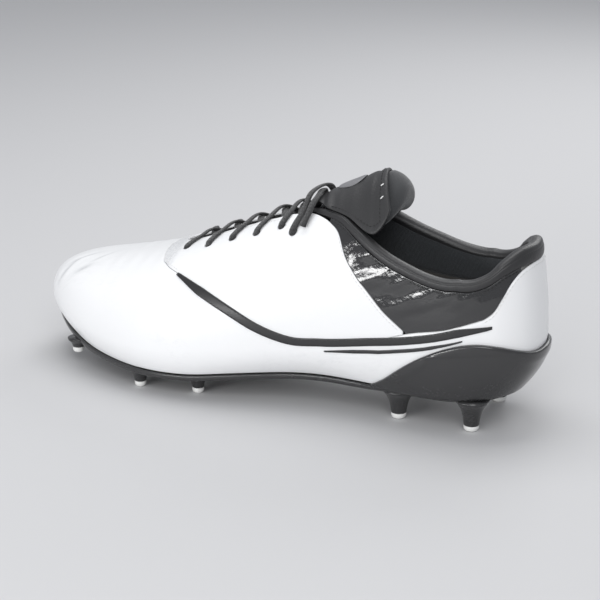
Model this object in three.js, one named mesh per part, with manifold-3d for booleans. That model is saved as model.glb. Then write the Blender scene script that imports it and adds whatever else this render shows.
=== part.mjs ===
// A left low-cut soccer cleat, toe along -X, outer (lateral) side along -Y, studs down.
// The upper is drawn on a last: a closed outline at its widest level, and above and below
// each outline point a section that curves in to the ridge and to the feather line.
// Everything that follows the foot is placed by (girth, rise, offset): millimetres round the
// outline from the back of the heel (+ lateral, - medial), -1 at the feather line to 0 at the
// widest level to 1 on the ridge, and millimetres out from the upper's face.
import * as THREE from "three";
import { mergeVertices } from "three/addons/utils/BufferGeometryUtils.js";
import Module from "manifold-3d";

const wasm = await Module();
wasm.setup();

// ---- Driving dimensions, in millimetres ----
const lastLength = 284.5; // heel to toe of the upper
const lastWidth = 97.5; // across the ball of the foot
const throatHeight = 106; // ridge of the last where the tongue leaves the laces

const fitGap = 0.3; // between bonded or stitched neighbours
const curveAllowance = 0.1; // more, where the heel's flat-sided layers turn sharply
const panelThickness = 1.3; // synthetic upper
const backingThickness = 0.8; // eyestay backing and toe puff
const counterThickness = 1.2; // moulded heel counter
const foamThickness = 3.8; // collar foam
const liningThickness = 0.8;
const tapeThickness = 0.6;
const upperTapeWidth = 4.2;
const lowerTapeWidth = 1.8;

const plateThickness = 3.2;
const plateRim = 1.2; // the plate stands out this far past the feather line
const cupThickness = 2.2; // heel cup moulded with the plate
const studTipHeight = 3;
const heelStudTip = 3.9; // radius
const heelStudRoot = 6.8;
const foreStudTip = 3.1;
const foreStudRoot = 4.9;
const studFacet = 1.6; // flat at the end of each stud

const boardThickness = 1.5;
const sockThickness = 4;
const sockFold = 190; // station of the fold that lets the rear of the sockliner lift

const laceWidth = 3.8;
const laceThickness = 1.6;
const laceClear = 0.9; // round the lace where it passes other pieces
const eyeletRadius = laceWidth / 2 + laceClear;
const eyeletPitch = 13.8;
const frontEyelet = 190; // station of the eyelets nearest the toe
const ankleEyelet = 127; // station of the sixth eyelet
const throatFront = 198;

const tongueSkin = 1.6;
const tonguePadding = 4.4; // at the fold, under the skin
const tongueFold = 114.5; // station of the tongue's hinge line
const padEnd = 82; // station of the thickest part of the tongue's padded end
const padRadius = 10;
const patchThickness = 0.6;

// ---- Last: drawn at the draft size and graded to the driving dimensions ----
const grade = { along: lastLength / 284.5, out: lastWidth / 97.5, up: throatHeight / 106 };
const lateralOutline = [
  [0, 0], [3.5, 15.5], [14, 27], [34, 33.5], [64, 34.5], [96, 34.5], [126, 38], [155, 44],
  [180, 47.5], [206, 46], [231, 38.5], [252, 28.5], [269, 15.5], [280, 2], [284.5, -11],
];
const medialOutline = [
  [282, -25], [272, -36.5], [254, -44.5], [230, -49.5], [205, -50], [180, -46], [150, -38],
  [120, -32.5], [90, -31.5], [62, -33], [34, -32.5], [14, -26.5], [3.5, -15.5],
];
const heelHub = 36; // behind this station the sections fan out round the heel
const toeHub = 236; // and ahead of this one round the toe
const spine = [[36, 0], [100, 0], [150, -1.5], [190, -3], [236, -8]];
const featherLevel = [
  [0, 21], [40, 19], [80, 18.5], [120, 18.5], [150, 16], [180, 13], [205, 12.5], [235, 14.5],
  [260, 19], [284, 26],
];
const widestLevel = [
  [0, 47], [40, 42], [80, 38], [120, 35], [150, 31], [180, 27], [205, 25.5], [235, 27],
  [260, 30], [284, 34],
];
const featherInset = [
  [0, 11], [14, 7.5], [30, 4.4], [44, 4], [80, 6], [110, 8], [140, 7], [180, 4.5], [230, 4.5], [283, 5],
];
const ridgeLevel = [
  [36, 150], [70, 122], [100, 110], [112, 106], [130, 100], [150, 91.5], [170, 83], [190, 74.5],
  [212, 66.5], [236, 60],
];
const fullness = [
  [36, 1.3], [60, 0.75], [80, 0.68], [100, 0.8], [130, 0.95], [160, 0.95], [190, 0.85], [236, 0.76],
];

// Edges of the upper's panels, as [girth, rise], the same on both sides.
const toplineEdge = [
  [0, 0.306], [11, 0.307], [19, 0.302], [29, 0.276], [39, 0.238], [48, 0.222], [58, 0.23],
  [69, 0.268], [84, 0.358], [97, 0.459], [111, 0.607], [119, 0.707], [127, 0.776], [136, 0.83],
  [142, 0.85],
];
const rimWidth = [[0, 8], [20, 7.5], [39, 5.5], [60, 5], [120, 5], [134, 4], [142, 2]]; // in millimetres
const heelPanelTop = [
  [0, 0.252], [10, 0.25], [16, 0.243], [21, 0.23], [26, 0.203], [31, 0.162], [35, 0.126], [40, 0.104],
];
const ankleFrontEdge = [
  [79, 0.072], [93, 0.178], [101, 0.259], [109, 0.35], [115, 0.45], [119, 0.56], [125, 0.65],
  [133, 0.735],
];
const vampTopEdge = [
  [40, 0.104], [56, 0.08], [79, 0.072], [96, 0.045], [124, 0.028], [140, 0.036], [156, 0.105],
  [172, 0.222], [191, 0.388], [207, 0.556], [216, 0.66], [221, 0.75], [224, 0.88], [226, 1],
];
const upperTapeLine = [
  [36, 0.078], [47, 0.07], [64, 0.056], [80, 0.047], [96, 0.041], [124, 0.026], [140, 0.034],
  [156, 0.1], [172, 0.216], [191, 0.382], [207, 0.55],
];
const lowerTapeLine = [
  [50, 0.043], [54, 0.039], [62, 0.029], [69, 0.016], [76, 0.004], [92, -0.018], [108, -0.052],
  [122, -0.092],
];
const cupTopEdge = [
  [0, -0.185], [7, -0.19], [17, -0.126], [21, -0.06], [31, 0.012], [44, 0.036], [58, 0.022],
  [67, -0.004], [76, -0.178], [84, -0.411], [92, -0.667], [104, -0.94],
];
const throatHalf = [[121, 13.5], [130, 12.5], [150, 10.5], [175, 9.5], [198, 8.5]];
const eyeletOut = [[127, 21.8], [135, 18.3], [148, 19.3], [162, 19.3], [176, 19.8], [190, 17.5]];

// Girths and rises that every layer of the upper is divided at, so that the layers stay parallel.
const sideGirths = [
  0, 10, 19, 28, 40, 52, 65, 79, 90, 101, 110, 118, 126, 134, 141, 152, 164, 176, 188, 199, 207, 214,
  219, 222, 224, 226, 240,
];
const riseLevels = [-1, -0.75, -0.5, -0.25, 0, 0.14, 0.28, 0.42, 0.56, 0.68, 0.79, 0.9, 1];

const clamp = THREE.MathUtils.clamp;
const lerp = THREE.MathUtils.lerp;

// Smooth curve through [x, y] knots, straight on past neither end.
function smooth(knots, x) {
  const last = knots.length - 1;
  const at = clamp(x, knots[0][0], knots[last][0]);
  let i = 0;
  while (i < last - 1 && at >= knots[i + 1][0]) i += 1;
  const chord = (k) => (knots[k + 1][1] - knots[k][1]) / (knots[k + 1][0] - knots[k][0]);
  const run = (k) => knots[k + 1][0] - knots[k][0];
  const slope = (k) => {
    if (k === 0) return chord(0);
    if (k === last) return chord(last - 1);
    return (chord(k - 1) * run(k) + chord(k) * run(k - 1)) / (run(k - 1) + run(k));
  };
  const h = run(i);
  const t = (at - knots[i][0]) / h;
  const a = knots[i][1];
  const b = knots[i + 1][1];
  const arc = slope(i) * h * t * (1 - t) ** 2 + slope(i + 1) * h * t * t * (t - 1);
  return a * (1 + 2 * t) * (1 - t) ** 2 + b * t * t * (3 - 2 * t) + arc;
}

// The outline as two knot lists against girth, run past both ends so that it closes smoothly.
const outlinePoints = [...lateralOutline, ...medialOutline];
const outlineGirths = [0];
for (let i = 0; i < outlinePoints.length; i += 1) {
  const a = outlinePoints[i];
  const b = outlinePoints[(i + 1) % outlinePoints.length];
  outlineGirths.push(outlineGirths[i] + Math.hypot(b[0] - a[0], b[1] - a[1]));
}
const girthTotal = outlineGirths[outlinePoints.length];
const toeGirth = outlineGirths[lateralOutline.length - 1];
const outlineKnots = [0, 1].map((axis) => {
  const n = outlinePoints.length;
  const knots = [];
  for (let i = -2; i <= n + 2; i += 1) {
    const turn = Math.floor(i / n);
    knots.push([outlineGirths[i - turn * n] + turn * girthTotal, outlinePoints[i - turn * n][axis]]);
  }
  return knots;
});

// Draft [along, out] of the outline at a girth.
function outlineAt(girth) {
  const g = ((girth % girthTotal) + girthTotal) % girthTotal;
  return [smooth(outlineKnots[0], g), smooth(outlineKnots[1], g)];
}

// Girth of the outline point at a station, on the lateral (+1) or medial (-1) side.
function girthAt(along, side) {
  let near = 0;
  let far = side > 0 ? toeGirth : toeGirth - girthTotal;
  for (let i = 0; i < 50; i += 1) {
    const mid = (near + far) / 2;
    if (outlineAt(mid)[0] < along) near = mid;
    else far = mid;
  }
  return (near + far) / 2;
}

// Draft centre, reach and shape of the section through an outline point.
function sectionAt(girth) {
  const [along, out] = outlineAt(girth);
  const hub = clamp(along, heelHub, toeHub);
  const middle = smooth(spine, hub);
  return { along, out, hub, middle, reach: Math.hypot(along - hub, out - middle) };
}

const ridgeSlope = (smooth(ridgeLevel, toeHub) - smooth(ridgeLevel, toeHub - 1)) / 1;

// Point on the upper's face.
function facePoint(girth, rise) {
  const { along, out, hub, middle, reach } = sectionAt(girth);
  const up = clamp(rise, 0, 1);
  const down = clamp(-rise, 0, 1);
  const share = Math.max(Math.cos((up * Math.PI) / 2), 0) ** smooth(fullness, hub);
  const width = share - (smooth(featherInset, along) / reach) * down ** 2;
  const widest = smooth(widestLevel, along);
  const toeFall = ridgeSlope * Math.max(along - toeHub, 0) * width * (1 - share);
  const height =
    widest +
    (smooth(ridgeLevel, hub) - widest) * Math.sin((up * Math.PI) / 2) -
    (widest - smooth(featherLevel, along)) * down +
    toeFall;
  return new THREE.Vector3(
    grade.along * (hub + (along - hub) * width),
    grade.out * (middle + (out - middle) * width),
    grade.up * height,
  );
}

// Outward unit normal of the face.
function faceNormal(girth, rise) {
  if (rise > 0.9999) {
    const hub = sectionAt(girth).hub;
    const step = 0.5;
    const a = clamp(hub - step, heelHub, toeHub);
    const b = clamp(hub + step, heelHub, toeHub);
    const fall = grade.up * (smooth(ridgeLevel, b) - smooth(ridgeLevel, a));
    const drift = grade.out * (smooth(spine, b) - smooth(spine, a));
    const tangent = new THREE.Vector3(grade.along * (b - a), drift, fall);
    return tangent.cross(new THREE.Vector3(0, 1, 0)).normalize();
  }
  const dg = 0.2;
  const dr = 0.004;
  const high = Math.min(rise + dr, 0.9999);
  const low = Math.max(rise - dr, -1);
  const acrossGirth = facePoint(girth + dg, rise).sub(facePoint(girth - dg, rise));
  const acrossRise = facePoint(girth, high).sub(facePoint(girth, low));
  return acrossRise.cross(acrossGirth).normalize();
}

function onLast(girth, rise, offset = 0) {
  return facePoint(girth, rise).addScaledVector(faceNormal(girth, rise), offset);
}

// Millimetres of face per unit of rise, and per unit of girth.
const riseScale = (g, r) => facePoint(g, r + 0.004).distanceTo(facePoint(g, r - 0.004)) / 0.008;
const girthScale = (g, r) => facePoint(g + 0.2, r).distanceTo(facePoint(g - 0.2, r)) / 0.4;

// Rise of the face at a distance out from the spine, for a station between the hubs.
function riseAtOut(along, side, out) {
  const section = sectionAt(girthAt(along, side));
  const share = clamp(out / (grade.out * section.reach), 0, 1);
  return (2 / Math.PI) * Math.acos(share ** (1 / smooth(fullness, section.hub)));
}

// Rise of the throat edge at a station: the two sides meet in a round end at the throat's front.
function throatRise(along, side) {
  const roundEnd = 14;
  const e = clamp((throatFront - along) / roundEnd, 0, 1);
  const half = grade.out * smooth(throatHalf, along) * Math.sqrt(1 - (1 - e) ** 2);
  return Math.min(riseAtOut(along, side, half), 1);
}

// ---- Solids ----
// Closed mesh from loose triangles: shared corners merged, collapsed triangles dropped, faces out.
function closedMesh(points, triangles) {
  const flat = new Float32Array(points.flatMap((p) => [p.x, p.y, p.z]));
  const soup = new THREE.BufferGeometry();
  soup.setAttribute("position", new THREE.BufferAttribute(flat, 3));
  soup.setIndex(triangles.flat());
  const merged = mergeVertices(soup, 1e-3);
  const index = merged.index.array;
  const at = merged.attributes.position;
  const kept = [];
  let volume = 0;
  const [a, b, c] = [new THREE.Vector3(), new THREE.Vector3(), new THREE.Vector3()];
  for (let i = 0; i < index.length; i += 3) {
    const [p, q, r] = [index[i], index[i + 1], index[i + 2]];
    if (p === q || q === r || r === p) continue;
    kept.push([p, q, r]);
    a.fromBufferAttribute(at, p);
    volume += a.dot(b.fromBufferAttribute(at, q).cross(c.fromBufferAttribute(at, r)));
  }
  const facing = volume < 0 ? kept.map(([p, q, r]) => [p, r, q]) : kept;
  merged.setIndex(facing.flat());
  return merged;
}

// Solid between two matching grids of points, outer[i][k] and inner[i][k].
// Where fused(i) is true the wall at the last k is left out, because the other half continues there.
function shellSolid(outer, inner, fused = () => false) {
  const rows = outer.length;
  const cols = outer[0].length;
  const points = [...outer.flat(), ...inner.flat()];
  const o = (i, k) => i * cols + k;
  const n = (i, k) => rows * cols + i * cols + k;
  const triangles = [];
  const quad = (a, b, c, d) => triangles.push([a, b, c], [a, c, d]);
  for (let i = 0; i < rows - 1; i += 1) {
    for (let k = 0; k < cols - 1; k += 1) {
      quad(o(i, k), o(i + 1, k), o(i + 1, k + 1), o(i, k + 1));
      quad(n(i, k), n(i, k + 1), n(i + 1, k + 1), n(i + 1, k));
    }
    quad(o(i, 0), n(i, 0), n(i + 1, 0), o(i + 1, 0));
    const top = cols - 1;
    if (!fused(i)) quad(o(i, top), o(i + 1, top), n(i + 1, top), n(i, top));
  }
  for (let k = 0; k < cols - 1; k += 1) {
    quad(o(0, k), o(0, k + 1), n(0, k + 1), n(0, k));
    const end = rows - 1;
    quad(o(end, k), n(end, k), n(end, k + 1), o(end, k + 1));
  }
  return closedMesh(points, triangles);
}

// Solid through a list of closed rings of points, capped at both ends.
function ringSolid(rings) {
  const count = rings[0].length;
  const points = rings.flat();
  const triangles = [];
  for (let i = 0; i < rings.length - 1; i += 1) {
    for (let k = 0; k < count; k += 1) {
      const [a, b] = [i * count + k, i * count + ((k + 1) % count)];
      triangles.push([a, b, b + count], [a, b + count, a + count]);
    }
  }
  const cap = (first, turned) => {
    const centre = new THREE.Vector3();
    for (let k = 0; k < count; k += 1) centre.addScaledVector(points[first + k], 1 / count);
    points.push(centre);
    for (let k = 0; k < count; k += 1) {
      const [a, b] = [first + k, first + ((k + 1) % count)];
      triangles.push(turned ? [points.length - 1, b, a] : [points.length - 1, a, b]);
    }
  };
  cap(0, true);
  cap((rings.length - 1) * count, false);
  return closedMesh(points, triangles);
}

const range = (count, from, to) =>
  Array.from({ length: count + 1 }, (_, i) => from + ((to - from) * i) / count);

// Panel on the last over a list of girths, between two edges of rise and two offsets.
function panel(girths, low, high, outside, inside, fused) {
  const grid = (offset) =>
    girths.map((g) => riseLevels.map((r) => onLast(g, clamp(r, low(g), high(g)), offset)));
  return shellSolid(grid(outside), grid(inside), fused);
}

function toManifold(geometry) {
  const bare = new THREE.BufferGeometry();
  bare.setAttribute("position", geometry.getAttribute("position"));
  bare.setIndex(geometry.index);
  const merged = mergeVertices(bare, 1e-4);
  return new wasm.Manifold(
    new wasm.Mesh({
      numProp: 3,
      vertProperties: merged.attributes.position.array,
      triVerts: new Uint32Array(merged.index.array),
    }),
  );
}

function toGeometry(solid) {
  const mesh = solid.getMesh();
  const geometry = new THREE.BufferGeometry();
  geometry.setAttribute("position", new THREE.BufferAttribute(mesh.vertProperties, 3));
  geometry.setIndex(new THREE.BufferAttribute(mesh.triVerts, 1));
  return geometry;
}

// Round bar along a direction, to cut a hole with.
function bar(centre, direction, radius, length) {
  const geometry = new THREE.CylinderGeometry(radius, radius, length, 8);
  for (const name of ["normal", "uv"]) geometry.deleteAttribute(name);
  const turn = new THREE.Quaternion().setFromUnitVectors(new THREE.Vector3(0, 1, 0), direction);
  geometry.applyQuaternion(turn);
  geometry.translate(centre.x, centre.y, centre.z);
  return geometry;
}

// ---- Upper ----
const sides = { lateral: 1, medial: -1 };

// Medial girths are matched to lateral ones by station, so that both sides meet on the ridge,
// and an edge written for the lateral side is read on the medial side through its twin.
const mirrorGirth = (girth) => girthAt(outlineAt(girth)[0], -1);
const lateralTwin = (girth) =>
  girth >= 0 && girth <= toeGirth ? girth : girthAt(outlineAt(girth)[0], 1);
const edge = (knots) => (girth) => smooth(knots, lateralTwin(girth));
const above = (limit, gap = fitGap) => (g) => limit(g) + gap / riseScale(g, Math.min(limit(g), 0.98));
const below = (limit, gap = fitGap) => above(limit, -gap);

const topline = edge(toplineEdge);
const vampTop = edge(vampTopEdge);
const heelTop = (g) => Math.min(edge(heelPanelTop)(g), below(rimBottom)(g));
const rimBottom = (g) => topline(g) - smooth(rimWidth, lateralTwin(g)) / riseScale(g, topline(g));

const heelSeam = 40; // girth of the seam between the vamp and the heel panel
const ankleSeam = 79; // where the ankle panel's front edge leaves the vamp
const throatStart = 141; // where the quarter's top edge turns from the ankle to the throat
const bridgeGirth = 226; // where the vamp reaches the ridge in front of the throat
const hubGirth = girthAt(toeHub, 1);

// The shared girths between two ends, with the ends themselves, on one side.
function girthsBetween(from, to, side = 1) {
  const inner = sideGirths.filter((g) => g > from + 0.5 && g < to - 0.5);
  return [from, ...inner, to].map((g) => (side > 0 ? g : mirrorGirth(g)));
}

// From the medial side round the heel to the lateral side.
function girthsRoundHeel(reach) {
  return [...girthsBetween(0, reach, -1).slice(1).reverse(), ...girthsBetween(0, reach)];
}

// From the lateral side round the toe to the medial side.
function girthsRoundToe(from) {
  const lateral = girthsBetween(from, hubGirth);
  const medialHub = girthTotal + mirrorGirth(hubGirth);
  const toe = range(8, hubGirth, medialHub).slice(1, -1);
  return [...lateral, ...toe, ...lateral.map((g) => girthTotal + mirrorGirth(g)).reverse()];
}

function vampSolid() {
  const girths = girthsRoundToe(heelSeam + fitGap);
  const trimmed = (g) => (vampTop(g) > 0.9999 ? 1 : below(vampTop, fitGap / 2)(g));
  const fused = (i) => trimmed(girths[i]) === 1 && trimmed(girths[i + 1]) === 1;
  return panel(girths, () => -1, trimmed, 0, -panelThickness, fused);
}

// Rise of the face just beside the ridge, where the two quarters meet in front of the throat.
const besideRidge = (along, side) => riseAtOut(along, side, fitGap / 2);

// The seam between quarter and ankle panel rises to the throat's edge.
function ankleFront(girth) {
  const top = throatRise(outlineAt(throatStart)[0], girth >= 0 ? 1 : -1);
  return smooth([...ankleFrontEdge, [throatStart, top]], lateralTwin(girth));
}

function quarterTop(girth) {
  if (lateralTwin(girth) < throatStart - 0.01) return Math.min(ankleFront(girth), below(rimBottom)(girth));
  const along = outlineAt(girth)[0];
  const side = girth >= 0 ? 1 : -1;
  return Math.min(throatRise(along, side), besideRidge(along, side));
}

const eyeletStations = [...range(4, frontEyelet, frontEyelet - 4 * eyeletPitch), ankleEyelet];

function cutEyelets(geometry, side) {
  let solid = toManifold(geometry);
  for (const station of eyeletStations) {
    const girth = girthAt(station, side);
    const rise = riseAtOut(station, side, grade.out * smooth(eyeletOut, station));
    const hole = bar(onLast(girth, rise, -2), faceNormal(girth, rise), eyeletRadius, 12);
    solid = solid.subtract(toManifold(hole));
  }
  return toGeometry(solid);
}

function quarterSolid(side) {
  const girths = girthsBetween(ankleSeam + 1.5, bridgeGirth - 2, side);
  const low = (g) => Math.min(above(vampTop, fitGap / 2)(g), quarterTop(g) - 0.004);
  return cutEyelets(panel(girths, low, quarterTop, 0, -panelThickness), side);
}

function eyestayBacking(side) {
  const girths = girthsBetween(145, 215, side);
  const outside = -panelThickness - fitGap;
  const depth = 14; // from the throat edge
  const low = (g) => quarterTop(g) - depth / riseScale(g, 0.75);
  const high = below(quarterTop, 1);
  return cutEyelets(panel(girths, low, high, outside, outside - backingThickness), side);
}

function anklePanel(side) {
  const girths = girthsBetween(19, 126, side);
  const lowerEdge = (g) => {
    if (lateralTwin(g) < heelSeam) return heelTop(g);
    return lateralTwin(g) < ankleSeam ? vampTop(g) : ankleFront(g);
  };
  const high = below(rimBottom);
  const low = (g) => Math.min(above(lowerEdge)(g), high(g) - 0.004);
  return panel(girths, low, high, 0, -panelThickness);
}

const heelPanel = () => panel(girthsRoundHeel(heelSeam), () => -1, heelTop, 0, -panelThickness);

// Strip of constant width along a line of rise, lying on the face.
// Rise of a place some millimetres up the face from another; the face's scale changes at its widest level.
function shiftedRise(girth, rise, distance) {
  const level = 0.01;
  const up = riseScale(girth, Math.max(rise, level));
  const down = riseScale(girth, Math.min(rise, -level));
  const reach = rise * (rise > 0 ? up : down) + distance;
  return reach / (reach > 0 ? up : down);
}

function seamTape(knots, width, side) {
  const [rear, front] = [knots[0][0], knots[knots.length - 1][0]];
  const girths = range(22, rear, front);
  const taperRun = 16;
  const strip = (offset) =>
    girths.map((g) => {
      const twin = side > 0 ? g : mirrorGirth(g);
      const rise = smooth(knots, g);
      const climb = (smooth(knots, g + 1) - smooth(knots, g - 1)) / 2;
      const [perRise, perGirth] = [riseScale(twin, rise), girthScale(twin, rise)];
      const lean = climb * perRise / perGirth;
      const unit = Math.hypot(1, lean);
      const taper = lerp(0.35, 1, Math.min((g - rear) / taperRun, (front - g) / taperRun, 1));
      return [-0.5, 0, 0.5].map((w) => {
        const across = w * width * taper;
        const dg = ((-across * lean) / unit / perGirth) * side;
        return onLast(twin + dg, shiftedRise(twin, rise, across / unit), offset);
      });
    });
  return shellSolid(strip(fitGap + tapeThickness), strip(fitGap));
}

// Padded binding round the opening: a rounded section from the ankle panel over to the lining.
const foamOutside = -panelThickness - fitGap - curveAllowance;
const foamInside = foamOutside - foamThickness;
const rimInside = foamInside - fitGap - liningThickness;
function collarRim() {
  const rings = girthsRoundHeel(throatStart - fitGap).map((g) => {
    const [low, high] = [rimBottom(g), topline(g)];
    const lip = 1.6 / riseScale(g, high);
    return [
      [low, 0], [lerp(low, high, 0.5), 0.6], [high - lip, 0.3], [high, -1.4],
      [high, rimInside + 1.6], [high - lip, rimInside], [low, rimInside],
    ].map(([rise, offset]) => onLast(g, rise, offset));
  });
  return ringSolid(rings);
}

const collarReach = 134; // girth at which the collar's foam and lining end
const counterTop = 0.06;
const liningFoot = -0.75; // linings stop this low, above the lasting board

function layer(reach, low, high, outside, thickness) {
  return panel(girthsRoundHeel(reach), low, high, outside, outside - thickness);
}
const collarFoam = () =>
  layer(79, () => counterTop + 0.03, below(rimBottom, 2 * fitGap), foamOutside, foamThickness);
const collarLining = () =>
  layer(collarReach, () => counterTop, below(rimBottom, 2 * fitGap), foamInside - fitGap, liningThickness);
const heelCounter = () =>
  layer(79, () => liningFoot, () => counterTop, foamOutside, counterThickness);
const heelLining = () => {
  const outside = foamOutside - counterThickness - fitGap;
  return layer(collarReach, () => liningFoot, () => counterTop, outside, liningThickness);
};

const toeLiningOutside = -(panelThickness + fitGap + backingThickness + fitGap);
const liningTopEdge = [[134, 0.36], [150, 0.44], [196, 0.5], [212, 0.58], [226, 1]];
function vampLining() {
  const girths = girthsRoundToe(collarReach + 3);
  const high = (g) => (lateralTwin(g) >= bridgeGirth ? 1 : edge(liningTopEdge)(g));
  const fused = (i) => high(girths[i]) === 1 && high(girths[i + 1]) === 1;
  return panel(girths, () => liningFoot, high, toeLiningOutside, toeLiningOutside - liningThickness, fused);
}

function toePuff() {
  const girths = girthsRoundToe(hubGirth - 1).slice(1, -1);
  const outside = -panelThickness - fitGap;
  return panel(girths, () => liningFoot, () => 0.56, outside, outside - backingThickness);
}

// ---- Bottom ----
// Slab under or on the feather line, between two heights from it and grown sideways from it.
function slab(grow, top, bottom, from, to, rowSteps, columns = 4) {
  const shares = range(rowSteps, 0, 1).map((t) => (1 - Math.cos(Math.PI * t)) / 2);
  const level = (side, station) => {
    const g = girthAt(station, side);
    const { along, out, hub, middle, reach } = sectionAt(g);
    const width = 1 - smooth(featherInset, along) / reach + grow / reach;
    return new THREE.Vector3(
      grade.along * (hub + (along - hub) * width),
      grade.out * (middle + (out - middle) * width),
      grade.up * smooth(featherLevel, along),
    );
  };
  const toeTip = outlineAt(toeGirth)[0];
  const rows = shares.map((t) => lerp(Math.max(from, 0), Math.min(to, toeTip), t));
  const grid = (lift) =>
    rows.map((station) => {
      const [a, b] = [level(1, station), level(-1, station)];
      return range(columns, 0, 1).map((t) => a.clone().lerp(b, t).add(new THREE.Vector3(0, 0, lift)));
    });
  return shellSolid(grid(top), grid(bottom));
}

const plateTop = -fitGap;
const plateBottom = plateTop - plateThickness;
const studs = [
  { name: "heel_lateral_rear", at: [29, 22.5], heel: true },
  { name: "heel_medial_rear", at: [29, -21.5], heel: true },
  { name: "heel_lateral_front", at: [68, 21.4], heel: true },
  { name: "heel_medial_front", at: [68, -20.5], heel: true },
  { name: "fore_lateral_rear", at: [176, 32], heel: false },
  { name: "fore_medial_rear", at: [172, -32], heel: false },
  { name: "fore_lateral_middle", at: [208, 36], heel: false },
  { name: "fore_medial_middle", at: [212, -38], heel: false },
  { name: "fore_lateral_front", at: [254, 21], heel: false },
  { name: "fore_medial_front", at: [253, -30], heel: false },
  { name: "fore_centre", at: [226, -4], heel: false },
];
const toeStudHeight = 7; // under the plate, where the toe curves up clear of the ground
const toeStudStation = 240;

function studShape({ at, heel }) {
  const under = grade.up * smooth(featherLevel, at[0]) + plateBottom;
  const ground = at[0] > toeStudStation ? under - toeStudHeight : 0;
  return { under, ground, tip: heel ? heelStudTip : foreStudTip, root: heel ? heelStudRoot : foreStudRoot };
}

function turned(profile, [along, out], sides) {
  const points = profile.map(([r, z]) => new THREE.Vector2(r, z));
  const geometry = new THREE.LatheGeometry(points, sides);
  for (const name of ["normal", "uv"]) geometry.deleteAttribute(name);
  geometry.rotateX(Math.PI / 2);
  geometry.translate(grade.along * along, grade.out * out, 0);
  const soup = geometry.toNonIndexed();
  const corners = [];
  const at = soup.attributes.position;
  for (let i = 0; i < at.count; i += 1) corners.push(new THREE.Vector3().fromBufferAttribute(at, i));
  const faces = range(at.count / 3 - 1, 0, at.count / 3 - 1);
  return closedMesh(corners, faces.map((i) => [3 * i, 3 * i + 1, 3 * i + 2]));
}

function studBody(stud) {
  const { under, ground, tip, root } = studShape(stud);
  const bottom = ground + studTipHeight + fitGap;
  const rise = under - bottom;
  const flare = 1.8;
  return turned(
    [
      [0, bottom], [tip, bottom], [lerp(tip, root, 0.55), bottom + rise * 0.62],
      [root, under - 0.6], [root + flare, under + 0.6], [root + flare, under + 1.6], [0, under + 1.6],
    ],
    stud.at, 12,
  );
}

function studTip(stud) {
  const { ground, tip } = studShape(stud);
  return turned(
    [
      [0, ground], [studFacet, ground], [tip * 0.72, ground + 0.55],
      [tip * 0.95, ground + 1.7], [tip, ground + studTipHeight], [0, ground + studTipHeight],
    ],
    stud.at, 12,
  );
}

// The dip in the cup's top behind the heel runs further round on the medial side.
const dipRun = 16;
function cupTop(girth) {
  const at = lateralTwin(girth);
  const shift = girth < 0 ? dipRun * (1 - THREE.MathUtils.smoothstep(at, 28, 60)) : 0;
  return smooth(cupTopEdge, Math.max(at - shift, 0));
}

function outsolePlate() {
  const sole = toManifold(slab(plateRim, plateTop, plateBottom, 0, Infinity, 20));
  const half = [0, 10, 19, 28, 40, 52, 65, 72, 79, 85, 91, 97, 104];
  const girths = [...half.slice(1).map((g) => mirrorGirth(g)).reverse(), ...half];
  const wall = panel(girths, () => -1, cupTop, fitGap + cupThickness, fitGap);
  // The wall's foot is carried down into the plate.
  const foot = (offset) =>
    girths.map((g) => {
      const top = onLast(g, -0.97, offset);
      const sunk = onLast(g, -1, offset);
      sunk.z = grade.up * smooth(featherLevel, outlineAt(g)[0]) + lerp(plateTop, plateBottom, 0.7);
      return [sunk, top];
    });
  const wallFoot = shellSolid(foot(fitGap + cupThickness), foot(fitGap));
  let solid = sole.add(toManifold(wall)).add(toManifold(wallFoot));
  for (const stud of studs) solid = solid.add(toManifold(studBody(stud)));
  return toGeometry(solid);
}

const boardInset = -(panelThickness + 0.9);
const sockInset = -(panelThickness + backingThickness + liningThickness + 3 * fitGap + 1.2);
const boardTop = fitGap + boardThickness;

// ---- Tongue ----
// Under the laces it follows the last; behind them it lifts off into a crowned flap that flares,
// and whose rear corners sweep back. A place on it is a station and a share of the half width.
const tongueLevel = [
  [72, 128], [84, 123.4], [92, 119.7], [99, 116.2], [106, 112.8], [112, 109.6], [128, 100.5],
];
const tongueCrown = [[72, 0.037], [84, 0.04], [98, 0.035], [112, 0.025], [128, 0.02]];
const tongueSweep = [[84, 4.5], [98, 2], [110, 0]]; // of the lateral corner; the medial one stays
const tongueHalf = [
  [84, 28], [92, 25.5], [100, 21], [112, 15], [118, 9.6], [124, 8.8], [131, 9.8], [142, 18],
  [165, 21.5], [206, 17],
];
const tongueDepth = [[112, 5], [118, 2.6], [125, -1.5], [132, -5], [140, -6.2], [206, -6.2]]; // offset
const tongueFront = 205;
const tongueRear = 84;

function tongueFace(along, share) {
  const out = smooth(tongueHalf, along) * share;
  const station = along - smooth(tongueSweep, along) * (share * share + share);
  const level = smooth(tongueLevel, station) - smooth(tongueCrown, station) * out * out;
  const flap = new THREE.Vector3(
    grade.along * station,
    grade.out * (smooth(spine, station) + out),
    grade.up * level,
  );
  const side = share < 0 ? -1 : 1;
  const onFoot = THREE.MathUtils.smoothstep(along, 113, 127);
  if (onFoot === 0) return flap;
  const rise = Math.min(riseAtOut(along, side, grade.out * Math.abs(out)), 1);
  return flap.lerp(onLast(girthAt(along, side), rise, smooth(tongueDepth, along)), onFoot);
}

function tonguePoint(along, share, lift) {
  const step = 0.5;
  const forward = tongueFace(along + step, share).sub(tongueFace(along - step, share));
  const across = tongueFace(along, share + 0.05).sub(tongueFace(along, share - 0.05));
  return tongueFace(along, share).addScaledVector(forward.cross(across).normalize(), lift);
}

function tongueStrip(stations, thickness) {
  const grid = (lift) => stations.map((a) => range(8, -1, 1).map((c) => tonguePoint(a, c, lift)));
  return shellSolid(grid(0), grid(-thickness));
}

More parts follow.
